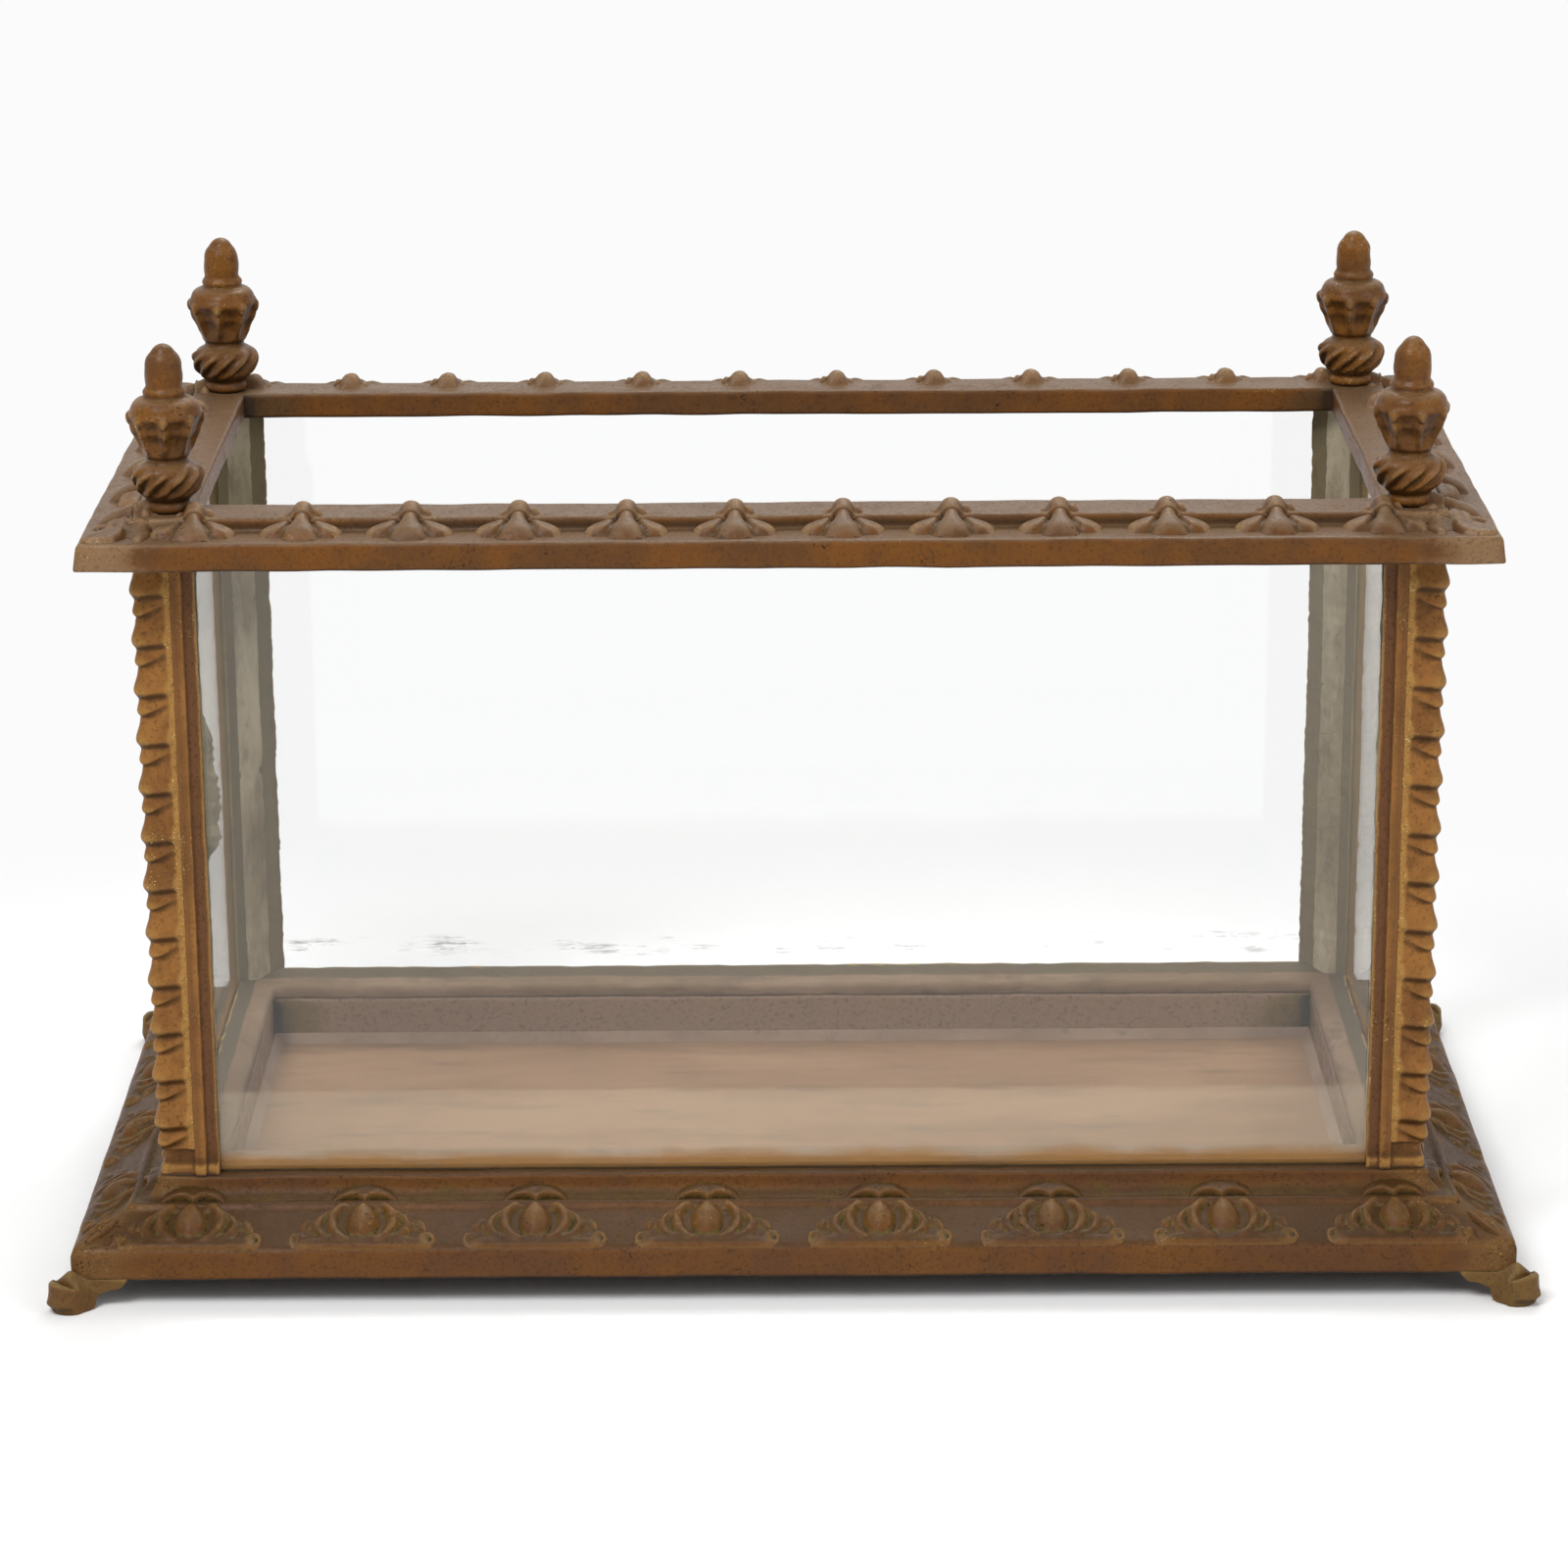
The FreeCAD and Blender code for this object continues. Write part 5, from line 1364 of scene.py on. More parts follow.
        # The shelter here also takes the painted shade under the shoulders and hooks from
        # husk_relief.
        mark(trial, "shelter", np.maximum(shelter(trial), 0.62 * grime_and_painted_light))
        shape, _ = self.husk()
        mesh = shape.mesh("husk_ornament")
        across = (len(three.points) - 2 * (3 * self.steps + 3)) // (3 * self.steps + 3)
        for name in ("edge", "hollow", "shelter"):
            values = np.zeros(len(three.points))
            trial.attributes[name].data.foreach_get("value", values)
            middle = values[self.steps * across:(2 * self.steps + 3) * across]
            mark(mesh, name, np.concatenate([middle, np.zeros(2 * (self.steps + 3))]))
        bpy.data.meshes.remove(trial)
        return mesh

    def tree(self) -> bpy.types.NodeTree:
        """The tree that stacks the husks up the post and joins the bar to them."""
        w = LayoutWiring("husk_chain", {
            "Husk": "Object", "Bar": "Object", "Count": "Int", "Pitch": "Float",
            "Start": "Float", "Turn": "Float", "Place": "Vector", "Variation": "Float",
            "Seed": "Int",
        })
        given = w.given
        line = w.add("GeometryNodeMeshLine", {
            "Count": given["Count"], "Start Location": w.vector(Z=given["Start"]),
            "Offset": w.vector(Z=given["Pitch"]),
        }, mode="OFFSET")
        size = w.add("FunctionNodeRandomValue", {
            2: w.math("SUBTRACT", 1.0, given["Variation"]), 3: 1.0, "Seed": given["Seed"]
        }, data_type="FLOAT").outputs[1]
        placed = w.add("GeometryNodeInstanceOnPoints", {
            "Points": line, "Instance": w.shown("Husk"), "Scale": w.vector(X=size, Y=size, Z=1.0)
        })
        joined = w.add("GeometryNodeJoinGeometry")
        w.feed(joined.inputs[0], placed)
        w.feed(joined.inputs[0], w.shown("Bar"))
        return w.closed(w.add("GeometryNodeTransform", {
            "Geometry": joined, "Translation": given["Place"],
            "Rotation": w.vector(Z=given["Turn"]),
        }))

    def build(self) -> None:
        """Make the four posts."""
        paint = POST_PAINT.material()
        tree = self.tree()
        parts = []
        bar = self.bar()
        bar_mesh = bar.mesh("post_bar")
        mark_wear(bar_mesh)
        across = bar.points[:, :2].min(1)
        mark(bar_mesh, "zone", np.where(across < -4.95, 1.0, 0.55 * ramp(across, -3.4, -2.4)))
        for name, mesh in (("husk_ornament", self.husk_mesh()), ("post_bar", bar_mesh)):
            parts.append(piece(name, mesh))
        for number, corner in enumerate(Corner):
            post = realised(f"post_{corner.word}", tree, {
                "Husk": parts[0], "Bar": parts[1], "Count": self.count,
                "Pitch": self.pitch * MM, "Start": self.first_husk * MM,
                "Turn": math.radians(corner.value[2]), "Variation": 0.001, "Seed": 3 + number,
                "Place": tuple(self.rod(corner) * MM),
                "Finish": paint,
            })
            settle(post, TANK, [f"corner_post_{corner.word}"])
        for part in parts:
            bpy.data.objects.remove(part)


@dataclass
class Finials(RodPlan):
    """The four turned finials, each of which unscrews on its own rod."""

    low: float = 328.3
    bore: float = 3.05
    bore_depth: float = 36.2
    sectors: int = 168
    gadroons: int = 11
    ribs: int = 8

    def outline(self) -> Outline:
        """Half the cut through the finial, from the top of its bore round to its tip."""
        return (Outline((0.0, self.bore_depth)).line((self.bore, self.bore_depth),
                                                     (self.bore, 0.0), (8.2, 0.0))
                .arc((8.4, 4.2), 0.55).line((9.4, 5.6)).arc((14.2, 12.6), 0.18)
                .arc((12.6, 18.2), 0.38).arc((8.9, 20.4), 0.1).arc((9.6, 23.2), -0.5)
                .arc((13.0, 33.0), -0.16).line((14.4, 38.4)).arc((14.0, 42.0), 0.42)
                .arc((9.4, 46.6), 0.36).line((8.2, 47.6)).arc((8.3, 50.2), 0.5, 8)
                .line((7.2, 51.4)).arc((7.3, 58.8), 0.10).arc((4.9, 65.1), 0.26)
                .arc((0.0, 68.5), 0.30))

    def shape(self, turn: float) -> Shape:
        """One finial, standing on height zero.

        Args:
            turn: How far it is screwed round, in degrees.

        Returns:
            The closed solid.
        """
        cut = self.outline().walk(0.42, 0.55)
        cut[0, 0] = cut[-1, 0] = 0.0
        normal = normals_of(cut)
        theta = np.linspace(0, 2 * math.pi, self.sectors, endpoint=False)
        z, t = np.meshgrid(cut[:, 1], theta, indexing="ij")
        outer = (np.arange(len(cut)) > int(np.argmin(np.abs(cut[:, 0] - 8.2)
                                                     + np.abs(cut[:, 1]) * 4)))[:, None]
        t0 = t + math.radians(turn)
        bulb = ramp(z, 6.2, 9.5) * ramp(z, 19.6, 16.0)
        wave = np.cos(self.gadroons * (t0 - (z - 12) * 0.075))
        lift = bulb * (0.85 * np.sign(wave) * np.abs(wave) ** 0.7 - 0.5)
        vase = ramp(z, 22.5, 28.0) * ramp(z, 41.0, 34.5)
        blade = np.abs(np.cos(self.ribs / 2 * t0)) ** 5
        lift += vase * (1.2 * blade - 0.9 * (1 - blade) * ramp(z, 24, 32))
        knob_angle = (np.mod(t0 * self.ribs / (2 * math.pi) + 0.5, 1) - 0.5) * 360 / self.ribs
        reach = np.hypot(np.radians(knob_angle) * 14.2 / 2.4, (z - 38.6) / 2.6)
        lift += 1.1 * np.clip(1 - reach ** 2, 0, 1) ** 0.8 * ramp(z, 34.0, 36.0)
        lift = lift * outer
        x = (cut[:, 0][:, None] + normal[:, 0][:, None] * lift)
        x = np.maximum(x, 0.0) * np.ones_like(t)
        height = z + normal[:, 1][:, None] * lift
        points = np.stack([x * np.cos(t), x * np.sin(t), height], -1)
        bumps = Unevenness(0.10, 5, 24, seed=int(turn) + 71).at(points.reshape(-1, 3))
        bumps = bumps.reshape(z.shape) * outer * ramp(z, 0.5, 3.0)
        points[..., 0] += np.cos(t) * bumps * (x > 1)
        points[..., 1] += np.sin(t) * bumps * (x > 1)
        rows = len(cut)
        ring_points = points[1:-1].reshape(-1, 3)
        shape = Shape().add(ring_points, grid_faces(rows - 2, self.sectors, loop_columns=True))
        first, last = points[0].mean(0), points[-1].mean(0)
        base = len(shape.points)
        shape.points = np.concatenate([shape.points, [first, last]])
        end = (rows - 3) * self.sectors
        for i in range(self.sectors):
            j = (i + 1) % self.sectors
            shape.faces.append([base, j, i])
            shape.faces.append([base + 1, end + i, end + j])
        return outward(shape)

    def build(self) -> None:
        """Make the four finials, each on its own body."""
        paint = FINIAL_PAINT.material()
        for number, corner in enumerate(Corner):
            shape = self.shape(11.0 + 83.0 * number)
            shape.points += self.rod(corner) + np.array([0.0, 0.0, self.low])
            # The finial shelters itself, which the paint turns into painted shade in its grooves.
            finial = dressed(f"turned_finial_{corner.word}", shape, paint, sheltered=Shape())
            settle(finial, f"{corner.word}_finial", [f"finial_{corner.word}"])


def recoat(nodes: Sequence[str], finish: bpy.types.Material) -> None:
    """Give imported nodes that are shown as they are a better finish."""
    for name in nodes:
        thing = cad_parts[name]
        for slot in thing.material_slots:
            slot.material = finish
        log.info("%s: kept, in %s", name, finish.name)


@dataclass(frozen=True)
class OldGlass:
    """Old plate glass with the lines and clouds that water left, and a painted reflection low
    down.

    Attributes:
        name: Name of the material.
        haze: How strong the pale film low on the pane is, which is also a painted reflection of
            the floor.
        haze_high: Height up to which that film and painted reflection reach, in millimetres.
        scratches: How strong the grey lines that the water left are.
        scratch_low: Height where those lines start, in millimetres.
        scratch_high: Height where they end, in millimetres.
        stain: How strong the brown stain along the bottom is.
        stain_high: Height where the stain ends, in millimetres.
        shift: Where in the noise this glass looks.
    """

    name: str
    haze: float = 0.0
    haze_high: float = 80.0
    scratches: float = 0.0
    scratch_low: float = 60.0
    scratch_high: float = 74.0
    stain: float = 0.5
    stain_high: float = 56.0
    shift: float = 0.0

    def material(self) -> bpy.types.Material:
        """The glass as a material."""
        w = ShaderWiring(self.name)
        height = w.add("ShaderNodeSeparateXYZ", {0: w.place}).outputs["Z"]
        lines = w.noise(30, 4, 0.75, self.shift, (1, 1, 9))
        blotch = w.noise(26, 3, 0.6, self.shift + 3)
        within = w.times(w.step(height, self.scratch_high * MM, (self.scratch_high - 5) * MM),
                         w.step(height, self.scratch_low * MM, (self.scratch_low + 5) * MM))
        grey = w.times(w.times(within, w.step(lines, 0.57, 0.70)),
                       w.times(w.step(blotch, 0.42, 0.6), self.scratches))
        # Low on the pane: a pale film that also stands for a painted reflection of the floor.
        below = w.step(height, self.haze_high * MM, (self.haze_high - 1.5) * MM)
        haze = w.times(below, w.times(w.plus(0.5, blotch), self.haze))
        brown = w.times(w.step(w.plus(height, blotch, -0.012), (self.stain_high - 6) * MM,
                               (self.stain_high - 16) * MM), self.stain)
        grime_and_painted_light = w.most(grey, haze, brown)
        # The film's tone: grey in the lines, pale where it is also the floor's painted
        # reflection, brown in the band along the foot.
        dust = w.mix(w.step(haze, 0.0, 0.05), srgb("8d8a86"), srgb("cdbfa8"))
        dust = w.mix(w.step(brown, 0.02, 0.3), dust, srgb("a8783c"))
        glass = w.add("ShaderNodeBsdfPrincipled", {
            "Base Color": (0.995, 1.0, 0.998), "Roughness": 0.0, "IOR": 1.45,
            "Transmission Weight": 1.0,
        })
        film = w.add("ShaderNodeBsdfDiffuse", {"Color": dust})
        clear = w.add("ShaderNodeBsdfTransparent", {"Color": (0.97, 0.98, 0.975)})
        ray = w.add("ShaderNodeLightPath").outputs["Is Shadow Ray"]
        pane = w.add("ShaderNodeMixShader", {0: grime_and_painted_light, 1: glass, 2: film})
        return w.finish(w.add("ShaderNodeMixShader", {0: ray, 1: pane, 2: clear}))


@dataclass(frozen=True)
class OldStone:
    """Slate, cement or putty: rough, blotched and cracked.

    Attributes:
        name: Name of the material.
        body: The common colour.
        drift: The tone it drifts to.
        stain: Dark stains.
        crack: The colour of cracks and pits.
        band: The tone where the mesh marks a zone with 1.
        line: The tone where the mesh marks a zone with 2.
        scale: Blotches per metre.
        stains: The share of the surface that is stained.
        cracks: How strong the cracks are.
        grain: Depth of the grain in millimetres.
        rough: Its roughness.
        streak: How closely the pattern lies along each axis; less than 1 draws it out.
    """

    name: str
    body: Colour
    drift: Colour
    stain: Colour
    crack: Colour
    band: Colour = (0.15, 0.13, 0.10)
    line: Colour = (0.3, 0.18, 0.07)
    scale: float = 30.0
    stains: float = 0.4
    cracks: float = 0.4
    grain: float = 0.3
    rough: float = 0.85
    shift: float = 0.0
    streak: Sequence[float] = (1.0, 1.0, 1.0)

    def material(self) -> bpy.types.Material:
        """The stone as a material."""
        w = ShaderWiring(self.name)
        broad = w.noise(self.scale, 6, 0.6, self.shift, self.streak)
        fine = w.noise(self.scale * 14, 5, 0.7, self.shift + 5, self.streak)
        middle = w.noise(self.scale * 3, 6, 0.7, self.shift + 9, self.streak)
        colour = w.coat(self.body, self.drift, broad, 0.36, 0.64)
        zone = w.plus(w.attribute("zone"), w.math("SUBTRACT", middle, 0.5), 0.9)
        colour = w.coat(colour, self.band, zone, 0.35, 0.75)
        colour = w.coat(colour, self.line, zone, 1.35, 1.65)
        colour = w.coat(colour, self.stain, middle, 0.62 - 0.2 * self.stains, 0.72, 0.8)
        place = w.add("ShaderNodeMapping", {"Vector": w.place,
                                            "Location": (self.shift, 0.0, self.shift)})
        warp = w.add("ShaderNodeTexNoise", {"Vector": place, "Scale": self.scale * 2})
        bent = w.add("ShaderNodeVectorMath", {
            0: place, 1: w.add("ShaderNodeVectorMath", {
                0: warp.outputs["Color"], "Scale": 0.012
            }, operation="SCALE").outputs[0]
        }, operation="ADD")
        cell = w.add("ShaderNodeTexVoronoi", {"Vector": bent.outputs[0],
                                              "Scale": self.scale * 2.2},
                     feature="DISTANCE_TO_EDGE").outputs["Distance"]
        crack = w.times(w.times(w.step(cell, 0.045, 0.012), w.step(broad, 0.47, 0.56)),
                        self.cracks)
        colour = w.coat(w.mix(crack, colour, self.crack), self.crack, fine, 0.5, 0.75, 0.35)
        height = w.plus(w.plus(fine, middle), crack, -2.0)
        shader = w.add("ShaderNodeBsdfPrincipled", {
            "Base Color": colour, "Roughness": self.rough,
            "Normal": w.bump(height, self.grain), "Specular IOR Level": 0.3,
        })
        return w.finish(shader)


SLATE = OldStone(
    "floor_slate", srgb("8c6e52"), srgb("7d6045"), srgb("67503b"), srgb("503e2e"),
    scale=13, stains=0.5, cracks=0.05, grain=0.05, streak=(0.35, 1.5, 1.0),
)
CEMENT = OldStone(
    "corner_cement", srgb("a89d86"), srgb("83775f"), srgb("695d48"), srgb("463c2d"),
    band=srgb("6a5f47"), line=srgb("8a7a55"), scale=24, stains=0.8, cracks=0.1, grain=0.4,
    shift=4.0, streak=(1.0, 1.0, 0.4),
)
BEDDING = OldStone(
    "bottom_bedding", srgb("7e6853"), srgb("6b563f"), srgb("584634"), srgb("403225"),
    band=srgb("584d3a"), line=srgb("8f7a4c"), scale=36, stains=0.6, cracks=0.1, grain=0.25,
    shift=8.0, streak=(0.4, 0.4, 1.5),
)
SLAB_PUTTY = OldStone(
    "slab_putty", srgb("86705e"), srgb("7a6452"), srgb("6a5646"), srgb("4c3d31"),
    scale=36, stains=0.3, cracks=0.05, grain=0.1, shift=16.0,
)
DARK_PUTTY = OldStone(
    "dark_putty", srgb("3f3322"), srgb("4a3b26"), srgb("2a2118"), srgb("1c1610"),
    scale=42, stains=0.5, cracks=0.3, grain=0.3, shift=12.0,
)


@dataclass(frozen=True)
class RustyIron:
    """Bare iron gone brown, for the rods, nuts and screws."""

    name: str
    body: Colour = srgb("5a4334")
    rust: Colour = srgb("7d4a28")
    shift: float = 0.0

    def material(self) -> bpy.types.Material:
        """The iron as a material."""
        w = ShaderWiring(self.name)
        broad = w.noise(120, 5, 0.6, self.shift)
        fine = w.noise(900, 4, 0.7, self.shift + 3)
        colour = w.coat(self.body, self.rust, broad, 0.42, 0.6)
        colour = w.coat(colour, srgb("2c1f18"), fine, 0.5, 0.7, 0.5)
        rough = w.plus(0.45, fine, 0.3)
        return w.finish(w.add("ShaderNodeBsdfPrincipled", {
            "Base Color": colour, "Roughness": rough, "Metallic": 0.6,
            "Normal": w.bump(fine, 0.08),
        }))


@dataclass
class Glazing:
    """The panes, the cement in the corners, the putty and the floor slab.

    Attributes:
        inner: The panes' inner faces, in distance out from the rods' line.
        back_leg: How far the cement reaches along the glass in the back corners.
        front_leg: The same in the front corners, where more of it has fallen out.
    """

    ring: MouldedRing = field(default_factory=lambda: MouldedRing(fineness=0.8, rounding=0.7))
    inner: float = 3.7
    low: float = 45.2
    high: float = 316.2
    back_leg: float = 15.6
    front_leg: float = 10.2

    def cement(self, corner: Corner) -> tuple[Shape, Array]:
        """The cement fillet in one upright corner, with ragged edges on the glass.

        Args:
            corner: Which corner.

        Returns:
            The closed fillet, and its zones: 1 near the glass, and 2 at the ragged edge.
        """
        sx, sy, _ = corner.value
        in_front = sy < 0
        reach = self.front_leg if in_front else self.back_leg
        levels = np.arange(self.low, self.high + 0.1, 1.6)
        blank = np.zeros(len(levels))
        seed = 91 + list(Corner).index(corner)
        spots = np.stack([blank, blank, levels], 1)
        legs = []
        for side in (0, 1):
            rag = Unevenness(0.5, 1.7, 90, seed + 10 * side).at(spots)
            leg = reach + 0.4 * np.clip(rag, -1.2, 1.2)
            if in_front and sx < 0 and side == 0:
                torn = ramp(levels, 178, 192) * ramp(levels, 250, 222)
                leg = leg + torn * (5.2 + 1.4 * rag)
            legs.append(leg)
        i, steps = self.inner, 26
        rows, zones = [], []
        for z, leg_x, leg_y in zip(levels, *legs):
            share = np.linspace(0, 1, steps)
            start, end = np.array([i, -leg_y]), np.array([-leg_x, i])
            bow = 0.13 * np.sin(math.pi * share)[:, None] * np.array([1.0, 1.0]) * reach * 0.9
            face = start + (end - start) * share[:, None] + bow
            rows.append(np.concatenate([[[i, i]], face]))
            near = np.minimum(share, 1 - share) * np.hypot(*(end - start))
            mark_at = np.where(near < 0.5, 2.0, np.where(near < 7.5, 1.0, 0.0))
            zones.append(np.concatenate([[0.0], mark_at]) * (not in_front))
        plan = np.array(rows)
        points = np.column_stack([plan.reshape(-1, 2), np.repeat(levels, steps + 1)])
        rough = Unevenness(0.22, 4, 30, seed + 50).at(points).reshape(len(levels), -1)
        rough[:, [0, 1, -1]] = 0
        points[:, :2] -= 0.7 * np.abs(rough).reshape(-1, 1)
        fillet = self.ring.mirrored(lofted(points, steps + 1), corner)
        return fillet, np.array(zones).ravel()

    def bedding(self) -> tuple[Shape, Array]:
        """The putty that beds the panes at the bottom, with its zones."""
        cut = (Outline((-12.0, 44.6)).line((self.inner, 44.6), (self.inner, 54.9), (3.0, 54.9),
                                           (-3.0, 51.6), (-10.4, 50.4), (-12.0, 48.8)))
        shape = self.ring.sweep(cut, Unevenness(0.16, 5, 40, seed=131))
        x, y, z = np.abs(shape.points).T
        zones = np.where(self.ring.outwards(shape.points) > -3.4, 1.0, 0.0)
        zones[z > 54.6] = 2.0
        front = (shape.points[:, 1] < -93) & (x - 250 < y - 106)
        shape.points[front, 2] = 44.6 + (z[front] - 44.6) * 0.4
        zones[shape.points[:, 1] < -100] = 0.0
        return shape, zones

    def build(self) -> None:
        """Make the cement and the bedding, and finish the parts that the model gives."""
        # On the front pane the pale film is also a painted reflection of the floor, and the brown
        # band along the foot is a painted reflection of the base's ledge as well as stain.
        recoat(["front_glass"], OldGlass("front_plate_glass", haze=0.10, stain=0.5).material())
        recoat(["back_glass"], OldGlass("back_plate_glass", scratches=0.75, scratch_low=57.0,
                                        scratch_high=70.0, stain=0.0, shift=3.0).material())
        recoat(["left_glass", "right_glass"], OldGlass("side_plate_glass", stain=0.35,
                                                       stain_high=66.0, shift=5.0).material())
        cement = CEMENT.material()
        for corner in Corner:
            shape, zones = self.cement(corner)
            fillet = dressed(f"cement_fillet_{corner.word}", shape, cement, zones)
            settle(fillet, TANK, [f"corner_cement_{corner.word}"])
        shape, zones = self.bedding()
        bed = dressed("bottom_bedding", shape, BEDDING.material(), zones)
        settle(bed, TANK, ["bottom_putty"])
        recoat(["pane_bed_putty", "glazing_putty"], DARK_PUTTY.material())
        recoat(["slab_putty"], SLAB_PUTTY.material())
        recoat(["bottom_slab"], SLATE.material())


@dataclass
class Fixings:
    """The rods, nuts and washers that hold the tank together, and the feet's screws."""

    def build(self) -> None:
        """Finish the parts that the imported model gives."""
        rust = RustyIron("rusty_rod_iron").material()
        recoat([f"tie_rod_{corner.word}" for corner in Corner], rust)
        recoat(["tie_rod_washers", "tie_rod_nuts"], rust)
        recoat(["foot_screws"], RustyIron("screw_iron_brown", shift=5.0).material())


@dataclass
class Feet(RodPlan):
    """The four bracket feet: two shaped wings that meet over a rounded, lipped toe.

    Attributes:
        skirt: The skirt's outer face, in distance out from the rods' line.
        wall: Thickness of the wings.
        top: How high the wings reach behind the skirt.
        voxel: Size of the grid that the parts are fused on.
    """

    skirt: float = 48.5
    wall: float = 7.0
    top: float = 12.6
    voxel: float = 0.62

    def wing(self) -> Shape:
        """The wing that lies along X, for the back right corner."""
        edge = (Outline((25.6, 12.0)).arc((31.0, 7.6), 0.22).arc((36.5, 5.6), -0.16)
                .arc((44.6, 0.6), -0.22).line((46.0, 0.0), (self.skirt + 2, 0.0),
                                              (self.skirt, 5.0), (self.skirt, self.top),
                                              (25.6, self.top)))
        cut = edge.walk(0.7, closed=True)[:-1]
        rows = [np.column_stack([cut[:, 0], np.full(len(cut), y), cut[:, 1]])
                for y in np.linspace(self.skirt - self.wall, self.skirt, 9)]
        return lofted(np.concatenate(rows), len(cut))

    def lump(self, at: Sequence[float], size: Sequence[float]) -> Shape:
        """A rounded lump on the corner's diagonal.

        Args:
            at: Its centre, out along the diagonal in each of X and Y, and its height.
            size: Half its size along the diagonal, across it, and upwards.

        Returns:
            The closed lump.
        """
        around = np.linspace(0, 2 * math.pi, 36, endpoint=False)
        tall = np.linspace(-math.pi / 2, math.pi / 2, 22)[1:-1]
        t, p = np.meshgrid(around, tall)
        body = np.stack([size[0] * np.cos(p) * np.cos(t), size[1] * np.cos(p) * np.sin(t),
                         size[2] * np.sin(p)], -1).reshape(-1, 3)
        ends = np.array([[0, 0, -size[2]], [0, 0, size[2]]], float)
        body = np.concatenate([body, ends])
        h = DIAGONAL
        body = body @ np.array([[h, h, 0], [-h, h, 0], [0, 0, 1]]) + np.array(at)
        faces = grid_faces(len(tall), 36, loop_columns=True).tolist()
        low, high, last = len(tall) * 36, len(tall) * 36 + 1, (len(tall) - 1) * 36
        for i in range(36):
            faces.append([low, (i + 1) % 36, i])
            faces.append([high, last + i, last + (i + 1) % 36])
        return outward(Shape().add(body, faces))

    def toe(self) -> Shape:
        """The toe on the corner's diagonal, hollowed behind its upturned lip."""
        cut = (Outline((-7.0, 13.0)).line((0.4, 17.0)).arc((4.6, 10.4), -0.35)
               .line((6.4, 10.2)).arc((8.6, 14.2), -0.3).arc((10.6, 13.6), 0.7)
               .arc((12.2, 4.0), 0.16).arc((9.4, 0.0), 0.4).line((-5.0, 0.0), (-7.0, 4.0)))
        path = cut.walk(0.6, 0.5, closed=True)[:-1]
        rows = []
        for share in np.linspace(-1, 1, 25):
            narrow = math.sqrt(1 - 0.72 * share ** 2)
            far = np.where(path[:, 0] > -2, -2 + (path[:, 0] + 2) * narrow, path[:, 0])
            z = path[:, 1] * (1 - 0.16 * share ** 2 * np.clip(path[:, 1] / 14, 0, 1) ** 2)
            reach = 7.6 * share * (1 - 0.55 * ramp(path[:, 1], 12.0, 17.0)
                                   * (path[:, 0] < 5))
            rows.append(np.stack([self.skirt + (far - reach) * DIAGONAL,
                                  self.skirt + (far + reach) * DIAGONAL, z], 1))
        return lofted(np.concatenate(rows), len(path))

    def foot(self) -> Shape:
        """One foot for the back right corner, fused from its parts and worn smooth."""
        wing = self.wing()
        other = outward(Shape(wing.points[:, [1, 0, 2]].copy(), list(wing.faces)))
        parts = wing.join(other).join(self.toe())
        parts.join(self.lump((52.6, 52.6, 5.6), (4.4, 5.2, 4.2)))
        source = piece("foot_parts", parts.mesh("foot_parts"))
        remesh = source.modifiers.new("fuse", "REMESH")
        remesh.mode, remesh.voxel_size = "VOXEL", self.voxel * MM
        soft = source.modifiers.new("wear", "SMOOTH")
        soft.factor, soft.iterations = 0.5, 4
        depsgraph = bpy.context.evaluated_depsgraph_get()
        mesh = bpy.data.meshes.new_from_object(source.evaluated_get(depsgraph),
                                               depsgraph=depsgraph)
        points = np.zeros(len(mesh.vertices) * 3)
        mesh.vertices.foreach_get("co", points)
        points = points.reshape(-1, 3) / MM
        faces = [list(face.vertices) for face in mesh.polygons]
        bpy.data.objects.remove(source)
        points += 0.12 * Unevenness(1.0, 4, 20, seed=171).at(points)[:, None]
        points[:, 2] = np.maximum(points[:, 2], 0.0)
        return outward(Shape(points, faces))

    def build(self) -> None:
        """Make the feet."""
        paint = FOOT_PAINT.material()
        foot = self.foot()
        for corner in Corner:
            settle(dressed(f"bracket_foot_{corner.word}", self.mirrored(foot, corner), paint),
                   TANK, [f"foot_{corner.word}"])


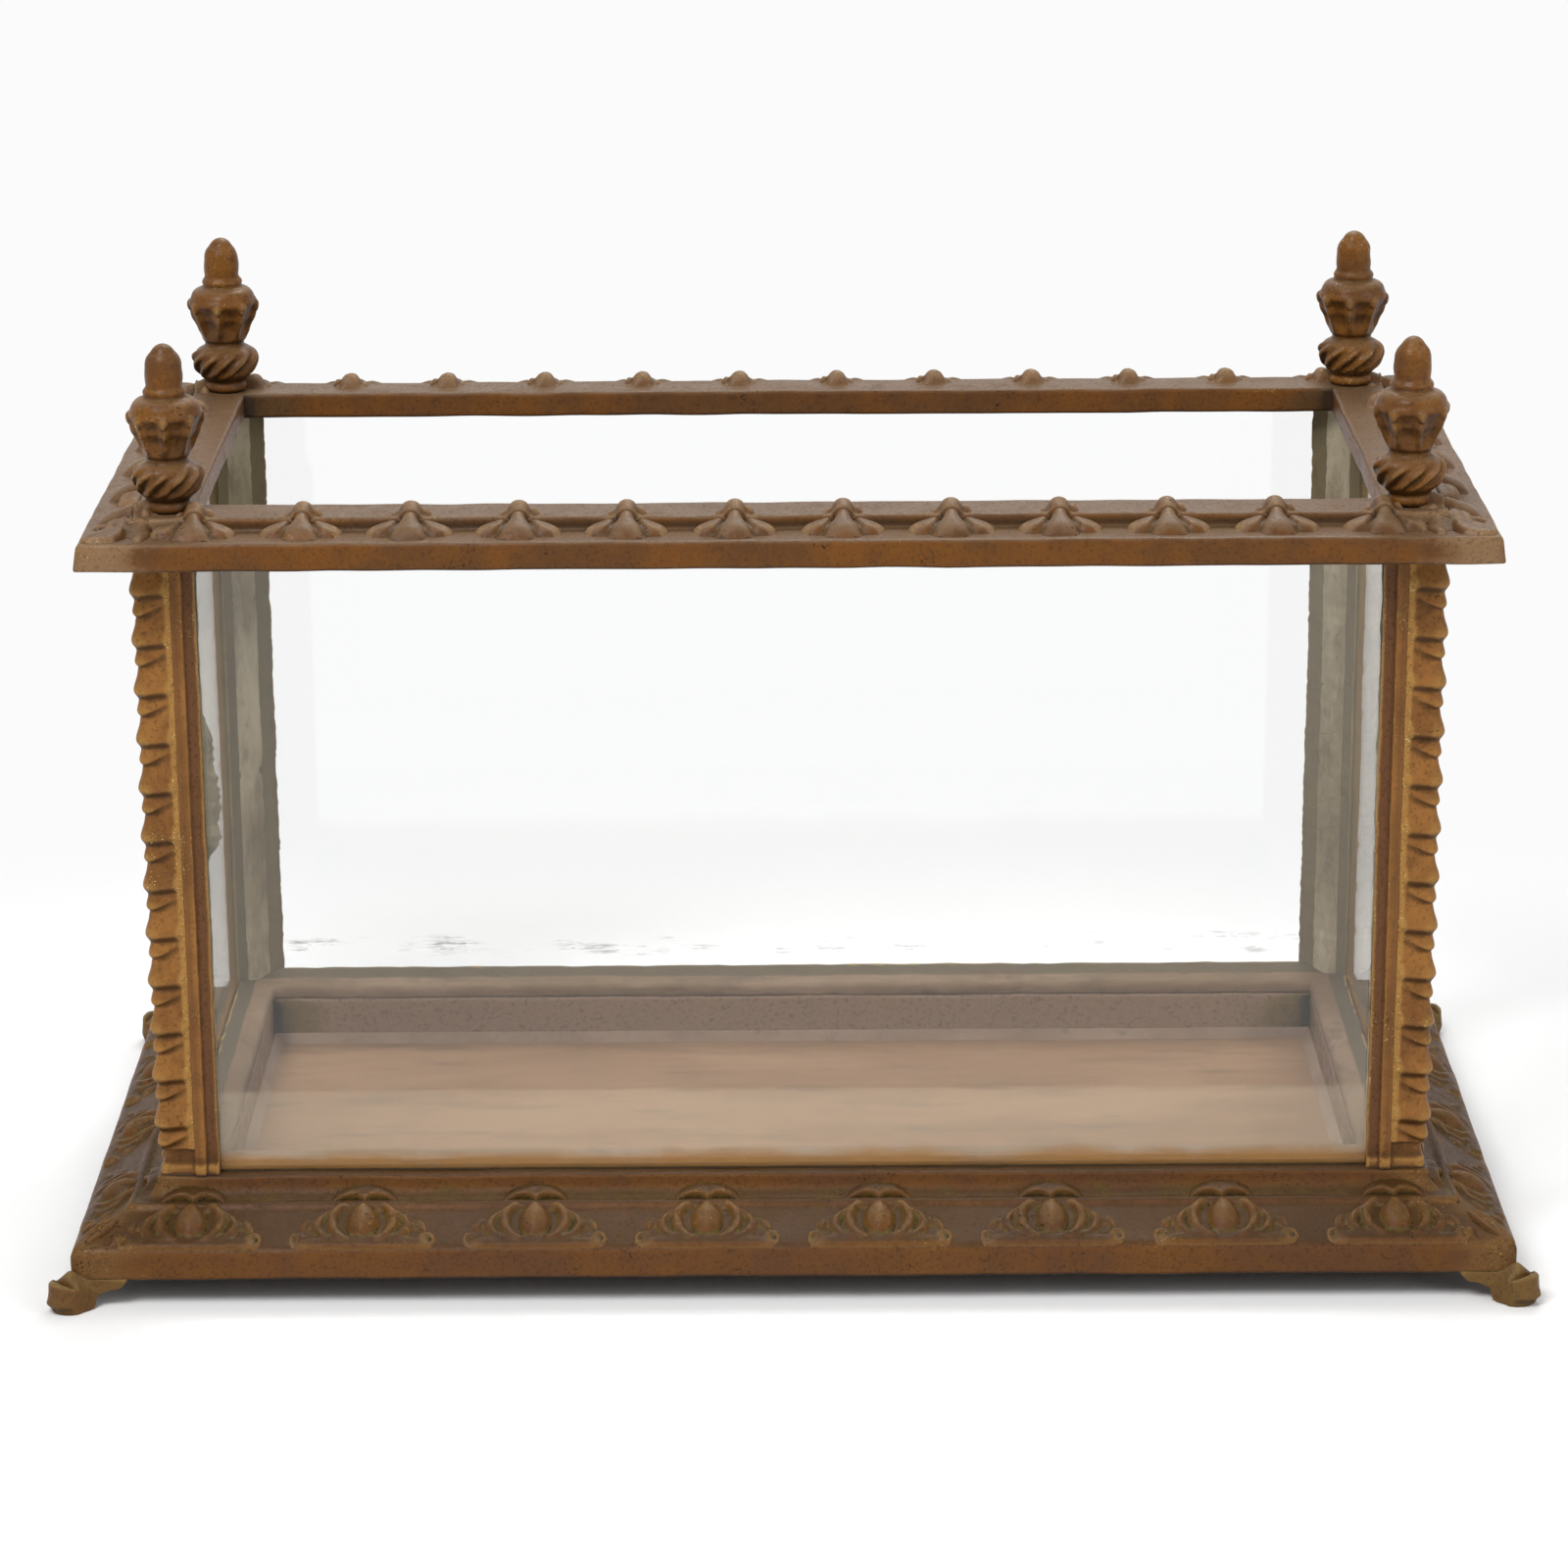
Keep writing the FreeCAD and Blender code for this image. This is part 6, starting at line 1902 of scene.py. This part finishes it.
@dataclass
class Studio:
    """The pale floor, the soft lamps and the camera where the photograph was taken."""

    pitch: float = 17.65
    yaw: float = 0.08
    roll: float = -0.37
    lens: float = 113.06
    place: tuple[float, float, float] = (0.0, -2.035, 0.824)

    def floor(self) -> None:
        """A wide pale floor that shows as near white to the camera and keeps the shadow."""
        shape = Shape().add(np.array([[-9000, -9000, 0], [9000, -9000, 0], [9000, 9000, 0],
                                      [-9000, 9000, 0]], float), [[0, 1, 2, 3]])
        ground = piece("floor", shape.mesh("floor"))
        w = ShaderWiring("pale_floor")
        diffuse = w.add("ShaderNodeBsdfDiffuse", {"Color": (0.94, 0.94, 0.94)})
        white = w.add("ShaderNodeEmission", {"Color": WHITE, "Strength": 1.0})
        flat_place = w.add("ShaderNodeVectorMath", {0: w.place, 1: (0.55, 1.0, 0.0)},
                           operation="MULTIPLY")
        away = w.add("ShaderNodeVectorMath", {0: flat_place.outputs[0]}, operation="LENGTH")
        share = w.times(w.step(away.outputs["Value"], 0.26, 0.52), w.seen())
        ground.data.materials.append(w.finish(w.add("ShaderNodeMixShader", {
            0: share, 1: diffuse, 2: white
        })))

    def world(self) -> None:
        """An even pale sky, shown white behind the object."""
        world = bpy.data.worlds.new("studio")
        bpy.context.scene.world = world
        world.use_nodes = True
        world.node_tree.nodes.clear()
        w = Wiring(world.node_tree)
        soft = w.add("ShaderNodeBackground", {"Color": (1.0, 1.0, 1.0), "Strength": 0.36})
        white = w.add("ShaderNodeBackground", {"Color": WHITE, "Strength": 1.0})
        w.add("ShaderNodeOutputWorld", {
            "Surface": w.add("ShaderNodeMixShader", {0: w.seen(), 1: soft, 2: white})
        })

    def lamp(self, name: str, at: Sequence[float], size: float, watts: float) -> None:
        """A soft square lamp that looks at the tank."""
        light = bpy.data.lights.new(name, "AREA")
        light.energy, light.size = watts, size
        thing = bpy.data.objects.new(name, light)
        bpy.context.scene.collection.objects.link(thing)
        thing.location = at
        aim = Vector((0.0, 0.0, 0.18)) - Vector(at)
        thing.rotation_euler = aim.to_track_quat("-Z", "Y").to_euler()

    def camera(self) -> None:
        """The camera."""
        data = bpy.data.cameras.new("camera")
        data.lens, data.sensor_width = self.lens, 36.0
        thing = bpy.data.objects.new("camera", data)
        bpy.context.scene.collection.objects.link(thing)
        p, q, r = (math.radians(v) for v in (self.pitch, self.yaw, self.roll))
        turn = np.array([[math.cos(q), -math.sin(q), 0], [math.sin(q), math.cos(q), 0],
                         [0, 0, 1]])
        ahead = turn @ np.array([0, math.cos(p), -math.sin(p)])
        up = turn @ np.array([0, math.sin(p), math.cos(p)])
        right = turn @ np.array([1.0, 0, 0])
        side = right * math.cos(r) + up * math.sin(r)
        top = up * math.cos(r) - right * math.sin(r)
        matrix = np.eye(4)
        matrix[:3, :3] = np.stack([side, top, -ahead], 1)
        matrix[:3, 3] = self.place
        thing.matrix_world = Matrix(matrix.tolist())
        bpy.context.scene.camera = thing

    def build(self) -> None:
        """Set up the studio."""
        bpy.context.scene.view_settings.view_transform = "Standard"
        self.floor()
        self.world()
        self.lamp("key_lamp", (-1.0, -1.7, 2.6), 1.3, 62.0)
        self.lamp("fill_lamp", (2.0, -1.5, 1.5), 1.6, 18.0)
        self.lamp("back_lamp", (0.3, 1.6, 2.6), 1.4, 34.0)
        self.camera()


def flat(bounds: Any) -> list[list[float]]:
    """A box's two corners as plain lists."""
    return [[float(v) for v in corner] for corner in bounds]


def main() -> None:
    """Build the tank piece by piece."""
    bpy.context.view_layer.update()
    Studio().build()
    for part in (BaseCasting(), Feet(), CornerPosts(), TopRim(), Finials(), Glazing(),
                 Fixings()):
        log.info("building %s", type(part).__name__)
        part.build()


if __name__ == "__main__":
    logging.basicConfig(level=logging.INFO, format="%(message)s")
    main()
